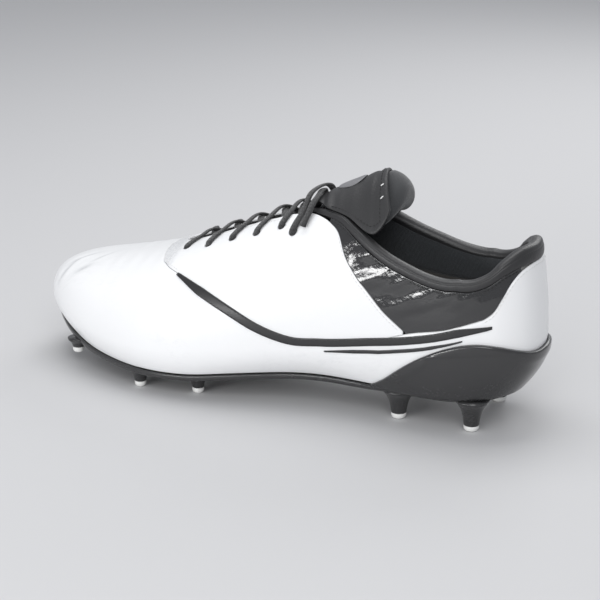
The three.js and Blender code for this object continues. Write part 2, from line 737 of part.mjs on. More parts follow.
// Padding and lining under the flap, swelling into a rounded end behind it.
function tonguePad() {
  const behind = [0.95, 0.82, 0.6, 0.32, 0].map((share) => padEnd - share * padRadius);
  const stations = [...behind, 84, 88, 93, 100, 106, tongueFold - 1];
  const under = tongueSkin + fitGap;
  const rings = stations.map((station) => {
    const past = clamp((padEnd - station) / padRadius, 0, 1);
    const close = Math.sqrt(1 - past * past);
    const swell = 1 - THREE.MathUtils.smoothstep(station, padEnd + 1, 94);
    const height = lerp(tonguePadding, 2 * padRadius, swell) * close;
    const half = lerp(smooth(tongueHalf, Math.max(station, 90)) * 0.72, 17.5, swell) * (0.1 + 0.9 * close);
    const arch = smooth(tongueCrown, station);
    const roof = smooth(tongueLevel, Math.max(station, padEnd)) - under * 1.25;
    const middle = roof - lerp(height / 2, padRadius, swell);
    return range(11, 0, 11 / 12).map((turn) => {
      const angle = 2 * Math.PI * turn;
      const out = half * Math.cos(angle);
      const sag = arch * out * out * lerp(1.15, 1, swell);
      return new THREE.Vector3(
        grade.along * station,
        grade.out * (smooth(spine, station) + out),
        grade.up * (middle - sag) + (height / 2) * Math.sin(angle),
      );
    });
  });
  return ringSolid(rings);
}

function tonguePatch() {
  const centre = 103;
  const [length, width] = [7.5, 0.36]; // half length along, half width as a share of the flap's
  const rows = range(6, -1, 1).map((t) => Math.sin((t * Math.PI) / 2));
  const face = (lift) =>
    rows.map((u) => {
      const half = width * Math.max(Math.sqrt(1 - u * u), 0.12);
      return range(6, -1, 1).map((t) => tonguePoint(centre + length * u, half * t, lift));
    });
  return shellSolid(face(2 * fitGap + patchThickness), face(2 * fitGap));
}

// ---- Lace: one cord through twelve eyelets, crossing over the tongue ----
// Each stop is a place on the last (station, distance out from the spine) and an offset.
const underOffset = -(panelThickness + fitGap + backingThickness + laceClear + laceThickness / 2);
const overOffset = fitGap + laceThickness / 2;

function laceStop(station, out, offset) {
  const side = out < 0 ? -1 : 1;
  const rise = Math.min(riseAtOut(station, side, Math.abs(out) * grade.out), 1);
  const girth = girthAt(station, side);
  return { point: onLast(girth, rise, offset), normal: faceNormal(girth, rise) };
}

// Up through an eyelet and back over its edge.
function eyeletTurn(station, side) {
  const out = smooth(eyeletOut, station) * side;
  const bend = (overOffset - underOffset) / 2;
  const middle = (underOffset + overOffset) / 2;
  return [
    laceStop(station + 0.6, out - 2.4 * side, underOffset),
    laceStop(station + 0.3, out - 0.1 * side, middle - bend * 0.8),
    laceStop(station, out + 0.8 * side, middle),
    laceStop(station - 0.3, out - 0.1 * side, middle + bend * 0.8),
    laceStop(station - 1.2, out - 2.6 * side, overOffset),
  ];
}

// Over the throat from one eyelet and down under the far edge, towards the next.
function laceCrossing(from, to, side, height) {
  const [near, far] = [smooth(throatHalf, from) * side, -smooth(throatHalf, to) * side];
  const nextOut = -smooth(eyeletOut, to) * side;
  const lifted = Math.max(smooth(tongueDepth, lerp(from, to, 0.5)) + 0.8, -1.6);
  return [
    laceStop(lerp(from, to, 0.3), near * 0.95, overOffset),
    laceStop(lerp(from, to, 0.5), 0, lifted + height),
    laceStop(lerp(from, to, 0.72), far * 0.66, Math.max(underOffset + 1.4, lifted - 0.4)),
    laceStop(lerp(from, to, 0.86), lerp(far, nextOut, 0.25), underOffset),
  ];
}

function laceStrand(firstSide, high) {
  const stops = [];
  const half = (laceThickness + fitGap) / 2;
  for (let k = 0; k < eyeletStations.length - 1; k += 1) {
    const side = k % 2 ? -firstSide : firstSide;
    const height = half + (k % 2 ? -1 : 1) * high * (half + 0.25) + laceThickness / 2;
    stops.push(...eyeletTurn(eyeletStations[k], side));
    stops.push(...laceCrossing(eyeletStations[k], eyeletStations[k + 1], side, height));
  }
  return stops;
}

// From the sixth eyelet the lace crosses over the tongue and comes to rest on the far quarter.
function laceEnd(side, height) {
  return [
    ...eyeletTurn(ankleEyelet, side),
    laceStop(123.8, 13 * side, overOffset + 0.6),
    laceStop(121.2, 7 * side, height - 0.6),
    laceStop(119, 0, height),
    laceStop(118, -7 * side, height - 0.4),
    laceStop(118.2, -12 * side, overOffset + 2.6),
    laceStop(119.4, -17 * side, overOffset + 1.5),
    laceStop(120.8, -21 * side, overOffset + 1.1),
  ];
}

function laceSolid() {
  const start = laceStop(frontEyelet + 1.5, 0, underOffset);
  const stops = [
    ...laceEnd(-1, 4).reverse(), ...laceStrand(-1, -1).reverse(), start,
    ...laceStrand(1, 1), ...laceEnd(1, 6.2),
  ];
  const path = new THREE.CatmullRomCurve3(stops.map((s) => s.point), false, "centripetal");
  const count = stops.length - 1;
  let wide = new THREE.Vector3(1, 0, 0);
  const rings = range(Math.round(count * 1.3), 0, 1).map((t) => {
    const centre = path.getPoint(t);
    const ahead = path.getTangent(t);
    const [i, f] = [Math.min(Math.floor(t * count), count - 1), (t * count) % 1];
    const normal = stops[i].normal.clone().lerp(stops[Math.min(i + 1, count)].normal, f);
    const across = normal.clone().cross(ahead);
    const sure = clamp(across.length() * 2 - 0.8, 0, 1);
    across.normalize();
    if (across.dot(wide) < 0) across.negate();
    wide = wide.lerp(across, sure).addScaledVector(ahead, -wide.dot(ahead)).normalize();
    const thick = ahead.clone().cross(wide).normalize();
    return range(5, 0, 5 / 6).map((turn) => {
      const angle = 2 * Math.PI * turn;
      return centre
        .clone()
        .addScaledVector(wide, (Math.cos(angle) * laceWidth) / 2)
        .addScaledVector(thick, (Math.sin(angle) * laceThickness) / 2);
    });
  });
  return ringSolid(rings);
}

// ---- Assembly ----
const finishes = {
  white: { color: 0xf2f2f2, roughness: 0.35 },
  dark: { color: 0x2a2a2b, roughness: 0.3 },
  plate: { color: 0x262627, roughness: 0.35 },
  tip: { color: 0xe9e9e9, roughness: 0.4 },
  textile: { color: 0x2b2d30, roughness: 0.9 },
  foam: { color: 0x8b8b88, roughness: 0.95 },
  board: { color: 0xc9c2b4, roughness: 0.9 },
  cord: { color: 0x1d1d1e, roughness: 0.85 },
  patch: { color: 0x7a7a7c, roughness: 0.5 },
};

const shoe = new THREE.Group();
function add(name, finish, geometry) {
  const material = new THREE.MeshStandardMaterial({ ...finishes[finish], metalness: 0 });
  const mesh = new THREE.Mesh(geometry, material);
  mesh.name = name;
  shoe.add(mesh);
}

add("outsole_plate", "plate", outsolePlate());
for (const stud of studs) add(`stud_tip_${stud.name}`, "tip", studTip(stud));
add("lasting_board", "board", slab(boardInset, boardTop, fitGap, 0, Infinity, 18));
const sockBottom = boardTop + fitGap;
const sockTop = sockBottom + sockThickness;
add("sockliner_rear", "textile", slab(sockInset, sockTop, sockBottom, 0, sockFold - fitGap, 12));
add("sockliner_front", "textile", slab(sockInset, sockTop, sockBottom, sockFold + fitGap, Infinity, 9));

add("vamp", "white", vampSolid());
for (const [name, side] of Object.entries(sides)) {
  add(`quarter_${name}`, "white", quarterSolid(side));
  add(`ankle_panel_${name}`, "dark", anklePanel(side));
  add(`eyestay_backing_${name}`, "board", eyestayBacking(side));
  add(`seam_tape_upper_${name}`, "dark", seamTape(upperTapeLine, upperTapeWidth, side));
  add(`seam_tape_lower_${name}`, "dark", seamTape(lowerTapeLine, lowerTapeWidth, side));
}
add("heel_panel", "white", heelPanel());
add("collar_rim", "dark", collarRim());
add("collar_foam", "foam", collarFoam());
add("collar_lining", "textile", collarLining());
add("heel_counter", "board", heelCounter());
add("heel_lining", "textile", heelLining());
add("vamp_lining", "textile", vampLining());
add("toe_puff", "board", toePuff());

add("tongue_base", "dark", tongueStrip(range(13, tongueFold + fitGap, tongueFront), tongueSkin));
add("tongue_flap", "dark", tongueStrip(range(7, tongueRear, tongueFold - fitGap), tongueSkin));
add("tongue_pad", "textile", tonguePad());
add("tongue_patch", "patch", tonguePatch());
add("lace", "cord", laceSolid());

// Toe towards -X and lateral side towards -Y; then the origin goes to the middle of the ground.
shoe.rotation.z = Math.PI;
const root = new THREE.Group();
root.add(shoe);
root.updateMatrixWorld(true);
const box = new THREE.Box3().setFromObject(root, true);
const centre = box.getCenter(new THREE.Vector3());
shoe.position.set(-centre.x, -centre.y, -box.min.z);

export default root;
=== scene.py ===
from math import cos, pi, radians, sin

import bmesh
import bpy
import numpy as np
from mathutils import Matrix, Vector


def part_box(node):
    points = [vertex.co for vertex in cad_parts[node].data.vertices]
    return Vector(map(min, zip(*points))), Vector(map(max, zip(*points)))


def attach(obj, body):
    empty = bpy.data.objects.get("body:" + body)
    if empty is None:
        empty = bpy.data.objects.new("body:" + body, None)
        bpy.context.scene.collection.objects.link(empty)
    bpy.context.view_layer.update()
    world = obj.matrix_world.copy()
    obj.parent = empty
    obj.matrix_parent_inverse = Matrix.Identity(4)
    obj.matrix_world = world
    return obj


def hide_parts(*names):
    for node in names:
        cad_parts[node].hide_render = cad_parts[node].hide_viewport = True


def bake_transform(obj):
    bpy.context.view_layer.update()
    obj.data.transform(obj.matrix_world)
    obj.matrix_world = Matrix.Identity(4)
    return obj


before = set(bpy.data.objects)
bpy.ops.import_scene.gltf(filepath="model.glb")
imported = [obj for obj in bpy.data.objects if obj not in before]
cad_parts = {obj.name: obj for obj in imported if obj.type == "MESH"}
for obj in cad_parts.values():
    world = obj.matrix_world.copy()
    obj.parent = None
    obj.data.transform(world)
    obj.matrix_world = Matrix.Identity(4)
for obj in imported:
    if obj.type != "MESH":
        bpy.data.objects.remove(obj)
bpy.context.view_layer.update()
print("frame loaded")

# A stud tip fixes where the drawing's own zero, the heel's back on the ground, lies in the frame.
tipLow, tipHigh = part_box("stud_tip_heel_lateral_rear")
tipStation, tipOut = 29, 22.5
originX = (tipLow.x + tipHigh.x) / 2 + tipStation / 1000
originY = (tipLow.y + tipHigh.y) / 2 + tipOut / 1000


# Drawing (station from the heel, out to the lateral side, height; mm) to frame (m).
def placed(points):
    points = np.asarray(points, float)
    x = originX - points[..., 0] / 1000
    y = originY - points[..., 1] / 1000
    return np.stack([x, y, points[..., 2] / 1000], axis=-1)


# Angles in degrees, distance in metres, aim in the drawing's millimetres.
cameraSet = {
    "azimuth": 24.4,
    "elevation": 18.7,
    "distance": 1.001,
    "lens": 114.9,
    "aim": (142, 0, 45),
    "shiftX": 0.0287,
    "shiftY": 0.002,
}


def makeCamera():
    data = bpy.data.cameras.new("camera")
    data.sensor_width = 36
    data.lens = cameraSet["lens"]
    data.shift_x = cameraSet["shiftX"]
    data.shift_y = cameraSet["shiftY"]
    camera = bpy.data.objects.new("camera", data)
    bpy.context.scene.collection.objects.link(camera)
    azimuth, elevation = radians(cameraSet["azimuth"]), radians(cameraSet["elevation"])
    back = Vector((sin(azimuth) * cos(elevation), -cos(azimuth) * cos(elevation), sin(elevation)))
    aim = Vector(placed(cameraSet["aim"]))
    camera.location = aim + back * cameraSet["distance"]
    camera.rotation_euler = back.to_track_quat("Z", "Y").to_euler()
    bpy.context.scene.camera = camera


makeCamera()
print("camera placed")

# The last that every piece is drawn on: outline as (station, out), the rest as (station, value).
last = {
    "lateral": [
        (0, 0), (3.5, 15.5), (14, 27), (34, 33.5), (64, 34.5), (96, 34.5), (126, 38), (155, 44),
        (180, 47.5), (206, 46), (231, 38.5), (252, 28.5), (269, 15.5), (280, 2), (284.5, -11),
    ],
    "medial": [
        (282, -25), (272, -36.5), (254, -44.5), (230, -49.5), (205, -50), (180, -46), (150, -38),
        (120, -32.5), (90, -31.5), (62, -33), (34, -32.5), (14, -26.5), (3.5, -15.5),
    ],
    "heelHub": 36,
    "toeHub": 236,
    "spine": [(36, 0), (100, 0), (150, -1.5), (190, -3), (236, -8)],
    "feather": [
        (0, 21), (40, 19), (80, 18.5), (120, 18.5), (150, 16), (180, 13), (205, 12.5), (235, 14.5),
        (260, 19), (284, 26),
    ],
    "widest": [
        (0, 47), (40, 42), (80, 38), (120, 35), (150, 31), (180, 27), (205, 25.5), (235, 27),
        (260, 30), (284, 34),
    ],
    "featherInset": [
        (0, 11), (14, 7.5), (30, 4.4), (44, 4), (80, 6), (110, 8), (140, 7), (180, 4.5), (230, 4.5), (283, 5),
    ],
    "ridge": [
        (36, 150), (70, 122), (100, 110), (112, 106), (130, 100), (150, 91.5), (170, 83), (190, 74.5),
        (212, 66.5), (236, 60),
    ],
    "fullness": [
        (36, 1.3), (60, 0.75), (80, 0.68), (100, 0.8), (130, 0.95), (160, 0.95), (190, 0.85), (236, 0.76),
    ],
}


# Smooth curve through knots, level past both ends.
def smooth(knots, x):
    xs, ys = np.array(knots, float).T
    run = np.diff(xs)
    chord = np.diff(ys) / run
    slope = np.empty(len(xs))
    slope[0], slope[-1] = chord[0], chord[-1]
    slope[1:-1] = (chord[:-1] * run[1:] + chord[1:] * run[:-1]) / (run[:-1] + run[1:])
    at = np.clip(x, xs[0], xs[-1])
    i = np.clip(np.searchsorted(xs, at, side="right") - 1, 0, len(run) - 1)
    t = (at - xs[i]) / run[i]
    arc = slope[i] * run[i] * t * (1 - t) ** 2 + slope[i + 1] * run[i] * t * t * (t - 1)
    return ys[i] * (1 + 2 * t) * (1 - t) ** 2 + ys[i + 1] * t * t * (3 - 2 * t) + arc


def ease(x, start, end):
    t = np.clip((np.asarray(x, float) - start) / (end - start), 0, 1)
    return t * t * (3 - 2 * t)


outlinePoints = np.array(last["lateral"] + last["medial"], float)
outlineRuns = np.linalg.norm(np.roll(outlinePoints, -1, axis=0) - outlinePoints, axis=1)
outlineGirths = np.concatenate([[0], np.cumsum(outlineRuns)])
girthTotal = outlineGirths[-1]
toeGirth = outlineGirths[len(last["lateral"]) - 1]


def outlineKnots(axis):
    count = len(outlinePoints)
    knots = []
    for i in range(-2, count + 3):
        turn = i // count
        girth = outlineGirths[i - turn * count] + turn * girthTotal
        knots.append((girth, outlinePoints[i - turn * count][axis]))
    return knots


alongKnots, outKnots = outlineKnots(0), outlineKnots(1)


def outlineAt(girth):
    g = np.mod(girth, girthTotal)
    return smooth(alongKnots, g), smooth(outKnots, g)


tableSize = 6000
lateralTable = np.linspace(0, toeGirth, tableSize)
medialTable = np.linspace(0, toeGirth - girthTotal, tableSize)
lateralStations = np.maximum.accumulate(outlineAt(lateralTable)[0])
medialStations = np.maximum.accumulate(outlineAt(medialTable)[0])


def girthAt(station, side):
    side = np.asarray(side)
    lateral = np.interp(station, lateralStations, lateralTable)
    medial = np.interp(station, medialStations, medialTable)
    return np.where(side > 0, lateral, medial)


def mirrored(girth):
    return girthAt(outlineAt(girth)[0], -1)


def sideGirths(girths, side):
    return girths if side > 0 else mirrored(girths)


def twin(girth):
    girth = np.asarray(girth, float)
    own = (girth >= 0) & (girth <= toeGirth)
    return np.where(own, girth, girthAt(outlineAt(girth)[0], 1))


def hubOf(along):
    return np.clip(along, last["heelHub"], last["toeHub"])


def facePoint(girth, rise):
    along, out = outlineAt(girth)
    hub = hubOf(along)
    middle = smooth(last["spine"], hub)
    reach = np.hypot(along - hub, out - middle)
    up, down = np.clip(rise, 0, 1), np.clip(-np.asarray(rise, float), 0, 1)
    share = np.maximum(np.cos(up * pi / 2), 0) ** smooth(last["fullness"], hub)
    width = share - smooth(last["featherInset"], along) / reach * down**2
    widest = smooth(last["widest"], along)
    toeHub = last["toeHub"]
    tilt = smooth(last["ridge"], toeHub) - smooth(last["ridge"], toeHub - 1)
    fall = tilt * np.maximum(along - toeHub, 0) * width * (1 - share)
    height = widest + (smooth(last["ridge"], hub) - widest) * np.sin(up * pi / 2)
    height = height - (widest - smooth(last["feather"], along)) * down + fall
    x = hub + (along - hub) * width
    y = middle + (out - middle) * width
    return np.stack(np.broadcast_arrays(x, y, height), axis=-1)


def unit(v):
    return v / np.maximum(np.linalg.norm(v, axis=-1, keepdims=True), 1e-9)


riseStep, girthStep = 0.004, 0.2  # for slopes of the face
ridgeStart = 0.996


def girthSlope(girth, rise):
    return facePoint(girth + girthStep, rise) - facePoint(girth - girthStep, rise)


def faceNormal(girth, rise):
    rise = np.asarray(rise, float)
    high, low = np.minimum(rise + riseStep, 0.9999), np.clip(rise - riseStep, -1, 0.992)
    atRidge = girthSlope(girth, np.minimum(rise, ridgeStart))
    acrossGirth = np.where((rise > ridgeStart)[..., None], atRidge, girthSlope(girth, rise))
    acrossRise = facePoint(girth, high) - facePoint(girth, low)
    normal = unit(np.cross(acrossRise, acrossGirth))
    hub = hubOf(outlineAt(girth)[0])
    fall = smooth(last["ridge"], hub + 0.5) - smooth(last["ridge"], hub - 0.5)
    run = hubOf(hub + 0.5) - hubOf(hub - 0.5)
    ridge = unit(np.stack(np.broadcast_arrays(-fall, 0 * fall, run), axis=-1))
    toRidge = ease(rise, 0.985, 0.9995)[..., None]
    return unit(normal * (1 - toRidge) + ridge * toRidge)


def onLast(girth, rise, offset=0):
    girth, rise, offset = np.broadcast_arrays(
        np.asarray(girth, float), np.asarray(rise, float), np.asarray(offset, float)
    )
    return facePoint(girth, rise) + faceNormal(girth, rise) * offset[..., None]


def riseScale(girth, rise):
    climb = facePoint(girth, rise + riseStep) - facePoint(girth, rise - riseStep)
    return np.linalg.norm(climb, axis=-1) / (2 * riseStep)


def girthScale(girth, rise):
    return np.linalg.norm(girthSlope(girth, rise), axis=-1) / (2 * girthStep)


def riseAtOut(station, side, out):
    along, reachOut = outlineAt(girthAt(station, side))
    hub = hubOf(along)
    reach = np.hypot(along - hub, reachOut - smooth(last["spine"], hub))
    share = np.clip(out / reach, 0, 1)
    return 2 / pi * np.arccos(share ** (1 / smooth(last["fullness"], hub)))


# Edges of the upper's panels, as (girth, rise) on the lateral side.
edges = {
    "topline": [
        (0, 0.306), (11, 0.307), (19, 0.302), (29, 0.276), (39, 0.238), (48, 0.222), (58, 0.23),
        (69, 0.268), (84, 0.358), (97, 0.459), (111, 0.607), (119, 0.707), (127, 0.776), (136, 0.83),
        (142, 0.85),
    ],
    "rimWidth": [(0, 8), (20, 7.5), (39, 5.5), (60, 5), (120, 5), (134, 4), (142, 2)],
    "heelTop": [
        (0, 0.252), (10, 0.25), (16, 0.243), (21, 0.23), (26, 0.203), (31, 0.162), (35, 0.126), (40, 0.104),
    ],
    "ankleFront": [
        (79, 0.072), (93, 0.178), (101, 0.259), (109, 0.35), (115, 0.45), (119, 0.56), (125, 0.65),
        (133, 0.735),
    ],
    "vampTop": [
        (40, 0.104), (56, 0.08), (79, 0.072), (96, 0.045), (124, 0.028), (140, 0.036), (156, 0.105),
        (172, 0.222), (191, 0.388), (207, 0.556), (216, 0.66), (221, 0.75), (224, 0.88), (226, 1),
    ],
    "upperTape": [
        (36, 0.078), (47, 0.07), (64, 0.056), (80, 0.047), (96, 0.041), (124, 0.026), (140, 0.034),
        (156, 0.1), (172, 0.216), (191, 0.382), (207, 0.55),
    ],
    "lowerTape": [
        (50, 0.0415), (54, 0.036), (62, 0.0275), (69, 0.0195), (76, 0.013), (86, 0.0055), (98, -0.008),
        (110, -0.05), (122, -0.092),
    ],
    "cupTop": [  # in millimetres over the widest level
        (0, -4.3), (8, -4.3), (17, -2.7), (23, -0.6), (31, 2.4), (44, 5.2), (56, 4.0), (67, 0.2), (76, -4.3),
        (84, -9.5), (92, -15.3), (104, -21.6),
    ],
    "throatHalf": [(121, 13.5), (130, 12.5), (150, 10.5), (175, 9.5), (198, 8.5)],
    "throatFront": 198,
    "throatRound": 14,
    "dipRun": 16,
    "dipEnd": (28, 60),
    "heelSeam": 40,
    "ankleSeam": 79,
    "throatStart": 141,
    "bridge": 226,
}
gap = 0.3  # between bonded neighbours
nearRidge = 0.9995  # a rise from here up meets the other side at the ridge


def edge(name, girth):
    return smooth(edges[name], twin(girth))


def throatRise(station, side):
    e = np.clip((edges["throatFront"] - station) / edges["throatRound"], 0, 1)
    half = smooth(edges["throatHalf"], station) * np.sqrt(1 - (1 - e) ** 2)
    return np.minimum(riseAtOut(station, side, half), 1)


def rimBottom(girth):
    return edge("topline", girth) - edge("rimWidth", girth) / riseScale(girth, edge("topline", girth))


def ankleFront(girth):
    start = edges["throatStart"]
    station = outlineAt(start)[0]
    near, far = (
        smooth(edges["ankleFront"] + [(start, throatRise(station, side))], twin(girth)) for side in (1, -1)
    )
    return np.where(np.asarray(girth) >= 0, near, far)


# Rise of a place some millimetres up the face from another; the scale changes at the widest level.
def shiftedRise(girth, rise, distance):
    up, down = riseScale(girth, np.maximum(rise, 0.01)), riseScale(girth, np.minimum(rise, -0.01))
    reach = rise * np.where(rise > 0, up, down) + distance
    return reach / np.where(reach > 0, up, down)


# The dip in the cup's top behind the heel runs further round on the medial side.
def cupTop(girth):
    at = twin(girth)
    shift = np.where(np.asarray(girth) < 0, edges["dipRun"] * (1 - ease(at, *edges["dipEnd"])), 0)
    return shiftedRise(girth, np.zeros(np.shape(girth)), smooth(edges["cupTop"], np.maximum(at - shift, 0)))


def heelTop(girth):
    return np.minimum(edge("heelTop", girth), rimBottom(girth))


def quarterTop(girth):
    girth = np.asarray(girth, float)
    side = np.where(girth >= 0, 1, -1)
    ankle = np.minimum(ankleFront(girth), rimBottom(girth))
    return np.where(twin(girth) < edges["throatStart"], ankle, throatRise(outlineAt(girth)[0], side))


def link(obj):
    bpy.context.scene.collection.objects.link(obj)
    return obj


flatUnit = 10  # millimetres to one unit of a piece's flat map


# Mesh object from points in the drawing's millimetres, with its own flat map.
def meshPiece(name, points, faces, material, flat=None, weld=0.004):
    mesh = bpy.data.meshes.new(name)
    mesh.from_pydata(placed(points).tolist(), [], faces)
    if flat is not None:
        layer = mesh.uv_layers.new(name="flat")
        corners = np.zeros(len(mesh.loops), int)
        mesh.loops.foreach_get("vertex_index", corners)
        layer.data.foreach_set("uv", (np.asarray(flat, float)[corners] / flatUnit).astype(np.float32).ravel())
    work = bmesh.new()
    work.from_mesh(mesh)
    bmesh.ops.remove_doubles(work, verts=work.verts, dist=weld / 1000)
    bmesh.ops.dissolve_degenerate(work, edges=work.edges, dist=1e-7)
    bmesh.ops.recalc_face_normals(work, faces=work.faces)
    work.to_mesh(mesh)
    work.free()
    mesh.polygons.foreach_set("use_smooth", [True] * len(mesh.polygons))
    mesh.materials.append(material)
    mesh.update()
    return link(bpy.data.objects.new(name, mesh))


def gridFaces(rows, cols, start=0, wrap=False, flip=False):
    i, k = np.meshgrid(np.arange(rows - (0 if wrap else 1)), np.arange(cols - 1), indexing="ij")
    a = start + i * cols + k
    b = start + ((i + 1) % rows) * cols + k
    faces = np.stack([a, b, b + 1, a + 1], axis=-1).reshape(-1, 4)
    return (faces[:, ::-1] if flip else faces).tolist()


# Faces of a closed sheet whose two faces are matching grids, one after the other in the points.
def shellFaces(rows, cols, start=0, flip=False, openTop=None, ring=False):
    under = rows * cols
    faces = gridFaces(rows, cols, start, flip=flip) + gridFaces(rows, cols, start + under, flip=not flip)
    for i in range(rows - 1):
        a, b = start + i * cols, start + (i + 1) * cols
        faces.append([a, a + under, b + under, b])
        if openTop is None or not (openTop[i] and openTop[i + 1]):
            c, d = a + cols - 1, b + cols - 1
            faces.append([c, d, d + under, c + under])
    for k in range(start, start if ring else start + cols - 1):
        faces.append([k, k + 1, k + 1 + under, k + under])
        a = (rows - 1) * cols + k
        faces.append([a + 1, a, a + under, a + 1 + under])
    return faces


def shellPiece(name, outer, inner, material, flat=None, openTop=None, weld=0.004, ring=False):
    points = np.concatenate([outer.reshape(-1, 3), inner.reshape(-1, 3)])
    faces = shellFaces(*outer.shape[:2], openTop=openTop, ring=ring)
    both = None if flat is None else np.concatenate([flat.reshape(-1, 2)] * 2)
    return meshPiece(name, points, faces, material, both, weld)


# Tube through matching rings of points, with its two ends closed.
def tubePiece(name, rings, material, flat=None):
    count, sides = rings.shape[:2]
    looped = np.concatenate([rings, rings[:, :1]], axis=1)
    points = looped.reshape(-1, 3)
    faces = gridFaces(count, sides + 1)
    final = (count - 1) * (sides + 1)
    ends = [list(range(sides)), list(range(final + sides - 1, final - 1, -1))]
    return meshPiece(name, points, faces + ends, material, flat)


edgeRun = np.array([0, 0.1, 0.3, 0.6])  # in from a cut edge, where the face rounds over
edgeDrop = np.array([0.5, 0.22, 0.06, 0])


def withEnds(values, start, end):
    inner = values[(values > start + 0.9) & (values < end - 0.9)]
    return np.concatenate([start + edgeRun, inner, (end - edgeRun)[::-1]])


# Girths on one side, or right round by the heel or the toe; the medial ones keep the lateral stations.
def oneSide(start, end, side, step=1.5):
    return sideGirths(withEnds(np.arange(0, toeGirth, step), start, end), side)


def roundHeel(reach, step=1.5):
    half = withEnds(np.arange(0, toeGirth, step), 0, reach)
    half = np.concatenate([[0], half[4:]])
    return np.concatenate([mirrored(half[:0:-1]), half])


def roundToe(start, step=1.5):
    hub = girthAt(last["toeHub"], 1)
    lateral = withEnds(np.arange(0, toeGirth, step), start, hub)[:-3]
    lateral = np.concatenate([lateral, [hub]])
    farHub = girthTotal + mirrored(hub)
    toe = np.linspace(hub, farHub, 70)[1:-1]
    return np.concatenate([lateral, toe, (girthTotal + mirrored(lateral))[::-1]])


def lengthAlong(girths):
    return np.concatenate([[0], np.cumsum(np.abs(np.diff(girths)))])


# Grid of a panel between two edges of rise, its cut edges rounded over.
def panelGrid(girths, low, high, rows, thickness, base=0.0, relief=None, roundEnds=True, roundTop=True):
    low, high = np.broadcast_to(low, girths.shape), np.broadcast_to(high, girths.shape)
    scale = riseScale(girths, np.minimum((low + high) / 2, 0.98))
    span = np.maximum(high - low, 1e-4)
    shares = np.linspace(0, 1, rows)
    rise = low[:, None] + span[:, None] * shares[None, :]
    run = np.minimum(edgeRun[None, :] / scale[:, None], span[:, None] / 3)
    rise = np.concatenate([low[:, None] + run, rise[:, 1:-1], high[:, None] - run[:, ::-1]], axis=1)
    rise = np.sort(rise, axis=1)
    drop = np.zeros(rise.shape)
    drop[:, :4] += edgeDrop
    if roundTop is True:
        drop[:, -4:] += edgeDrop[::-1]
    elif roundTop is not False:
        drop[:, -4:] += edgeDrop[::-1] * roundTop[:, None]
    if roundEnds:
        ends = np.zeros(len(girths))
        ends[:4] = edgeDrop
        ends[-4:] = edgeDrop[::-1]
        drop = np.maximum(drop, ends[:, None])
    girth = np.broadcast_to(girths[:, None], rise.shape)
    extra = 0 if relief is None else relief(girth, rise)
    outer = onLast(girth, rise, base - drop * np.sign(thickness) + extra)
    inner = onLast(girth, rise, base - thickness)
    length = lengthAlong(girths)
    flat = np.stack([np.broadcast_to(length[:, None], rise.shape), rise * scale[:, None]], axis=-1)
    return outer, inner, flat


def newGroup(name, inputs, output):
    tree = bpy.data.node_groups.new(name, "ShaderNodeTree")
    tree.interface.new_socket("Vector", in_out="INPUT", socket_type="NodeSocketVector")
    for label, value in inputs.items():
        socket = tree.interface.new_socket(label, in_out="INPUT", socket_type="NodeSocketFloat")
        socket.default_value = value
    tree.interface.new_socket(output, in_out="OUTPUT", socket_type="NodeSocketFloat")
    given, out = tree.nodes.new("NodeGroupInput"), tree.nodes.new("NodeGroupOutput")
    return tree, given.outputs, out.inputs[output]


# Node with its settings; a value that is another node's output is linked.
def node(tree, kind, **values):
    made = tree.nodes.new(kind)
    for key, value in values.items():
        if key not in made.inputs:
            setattr(made, key, value)
        elif isinstance(value, bpy.types.NodeSocket):
            tree.links.new(value, made.inputs[key])
        else:
            made.inputs[key].default_value = value
    return made


def math(tree, operation, a, b=None, clamp=False):
    made = tree.nodes.new("ShaderNodeMath")
    made.operation = operation
    made.use_clamp = clamp
    for socket, value in zip(made.inputs, (a, b)):
        if isinstance(value, (int, float)):
            socket.default_value = value
        elif value is not None:
            tree.links.new(value, socket)
    return made.outputs[0]


# Pebbled grain: cells and a finer noise, as a height.
def makeGrainGroup():
    tree, given, height = newGroup("leather grain", {"Scale": 900.0, "Fine": 0.4}, "Height")
    place, finer = given["Vector"], math(tree, "MULTIPLY", given["Scale"], 2.3)
    cells = node(tree, "ShaderNodeTexVoronoi", feature="F1", Vector=place, Scale=given["Scale"])
    noise = node(tree, "ShaderNodeTexNoise", Vector=place, Scale=finer, Detail=3.0, Roughness=0.6)
    fine = math(tree, "MULTIPLY", noise.outputs[0], given["Fine"])
    tree.links.new(math(tree, "ADD", cells.outputs["Distance"], fine), height)
    return tree


# Small scratches and rubbed patches, as a mask from 0 to 1.
def makeScuffGroup():
    tree, given, mask = newGroup("scuffs", {"Scale": 60.0, "Amount": 0.5}, "Mask")
    place = given["Vector"]
    stretch = node(tree, "ShaderNodeMapping", Vector=place, Scale=(1.0, 3.5, 1.4), Rotation=(0.3, 0.2, 0.5))
    coarser, finer = (math(tree, "MULTIPLY", given["Scale"], share) for share in (0.35, 3.0))
    broad = node(tree, "ShaderNodeTexNoise", Vector=place, Scale=coarser, Detail=2.0, Roughness=0.5)
    stretched = stretch.outputs[0]
    fine = node(tree, "ShaderNodeTexNoise", Vector=stretched, Scale=finer, Detail=6.0, Roughness=0.75)
    worn = node(tree, "ShaderNodeMapRange", Value=broad.outputs[0], **{"From Min": 0.52, "From Max": 0.72})
    marks = node(tree, "ShaderNodeMapRange", Value=fine.outputs[0], **{"From Min": 0.5, "From Max": 0.75})
    both = math(tree, "MULTIPLY", worn.outputs[0], marks.outputs[0])
    tree.links.new(math(tree, "MULTIPLY", both, given["Amount"], True), mask)
    return tree


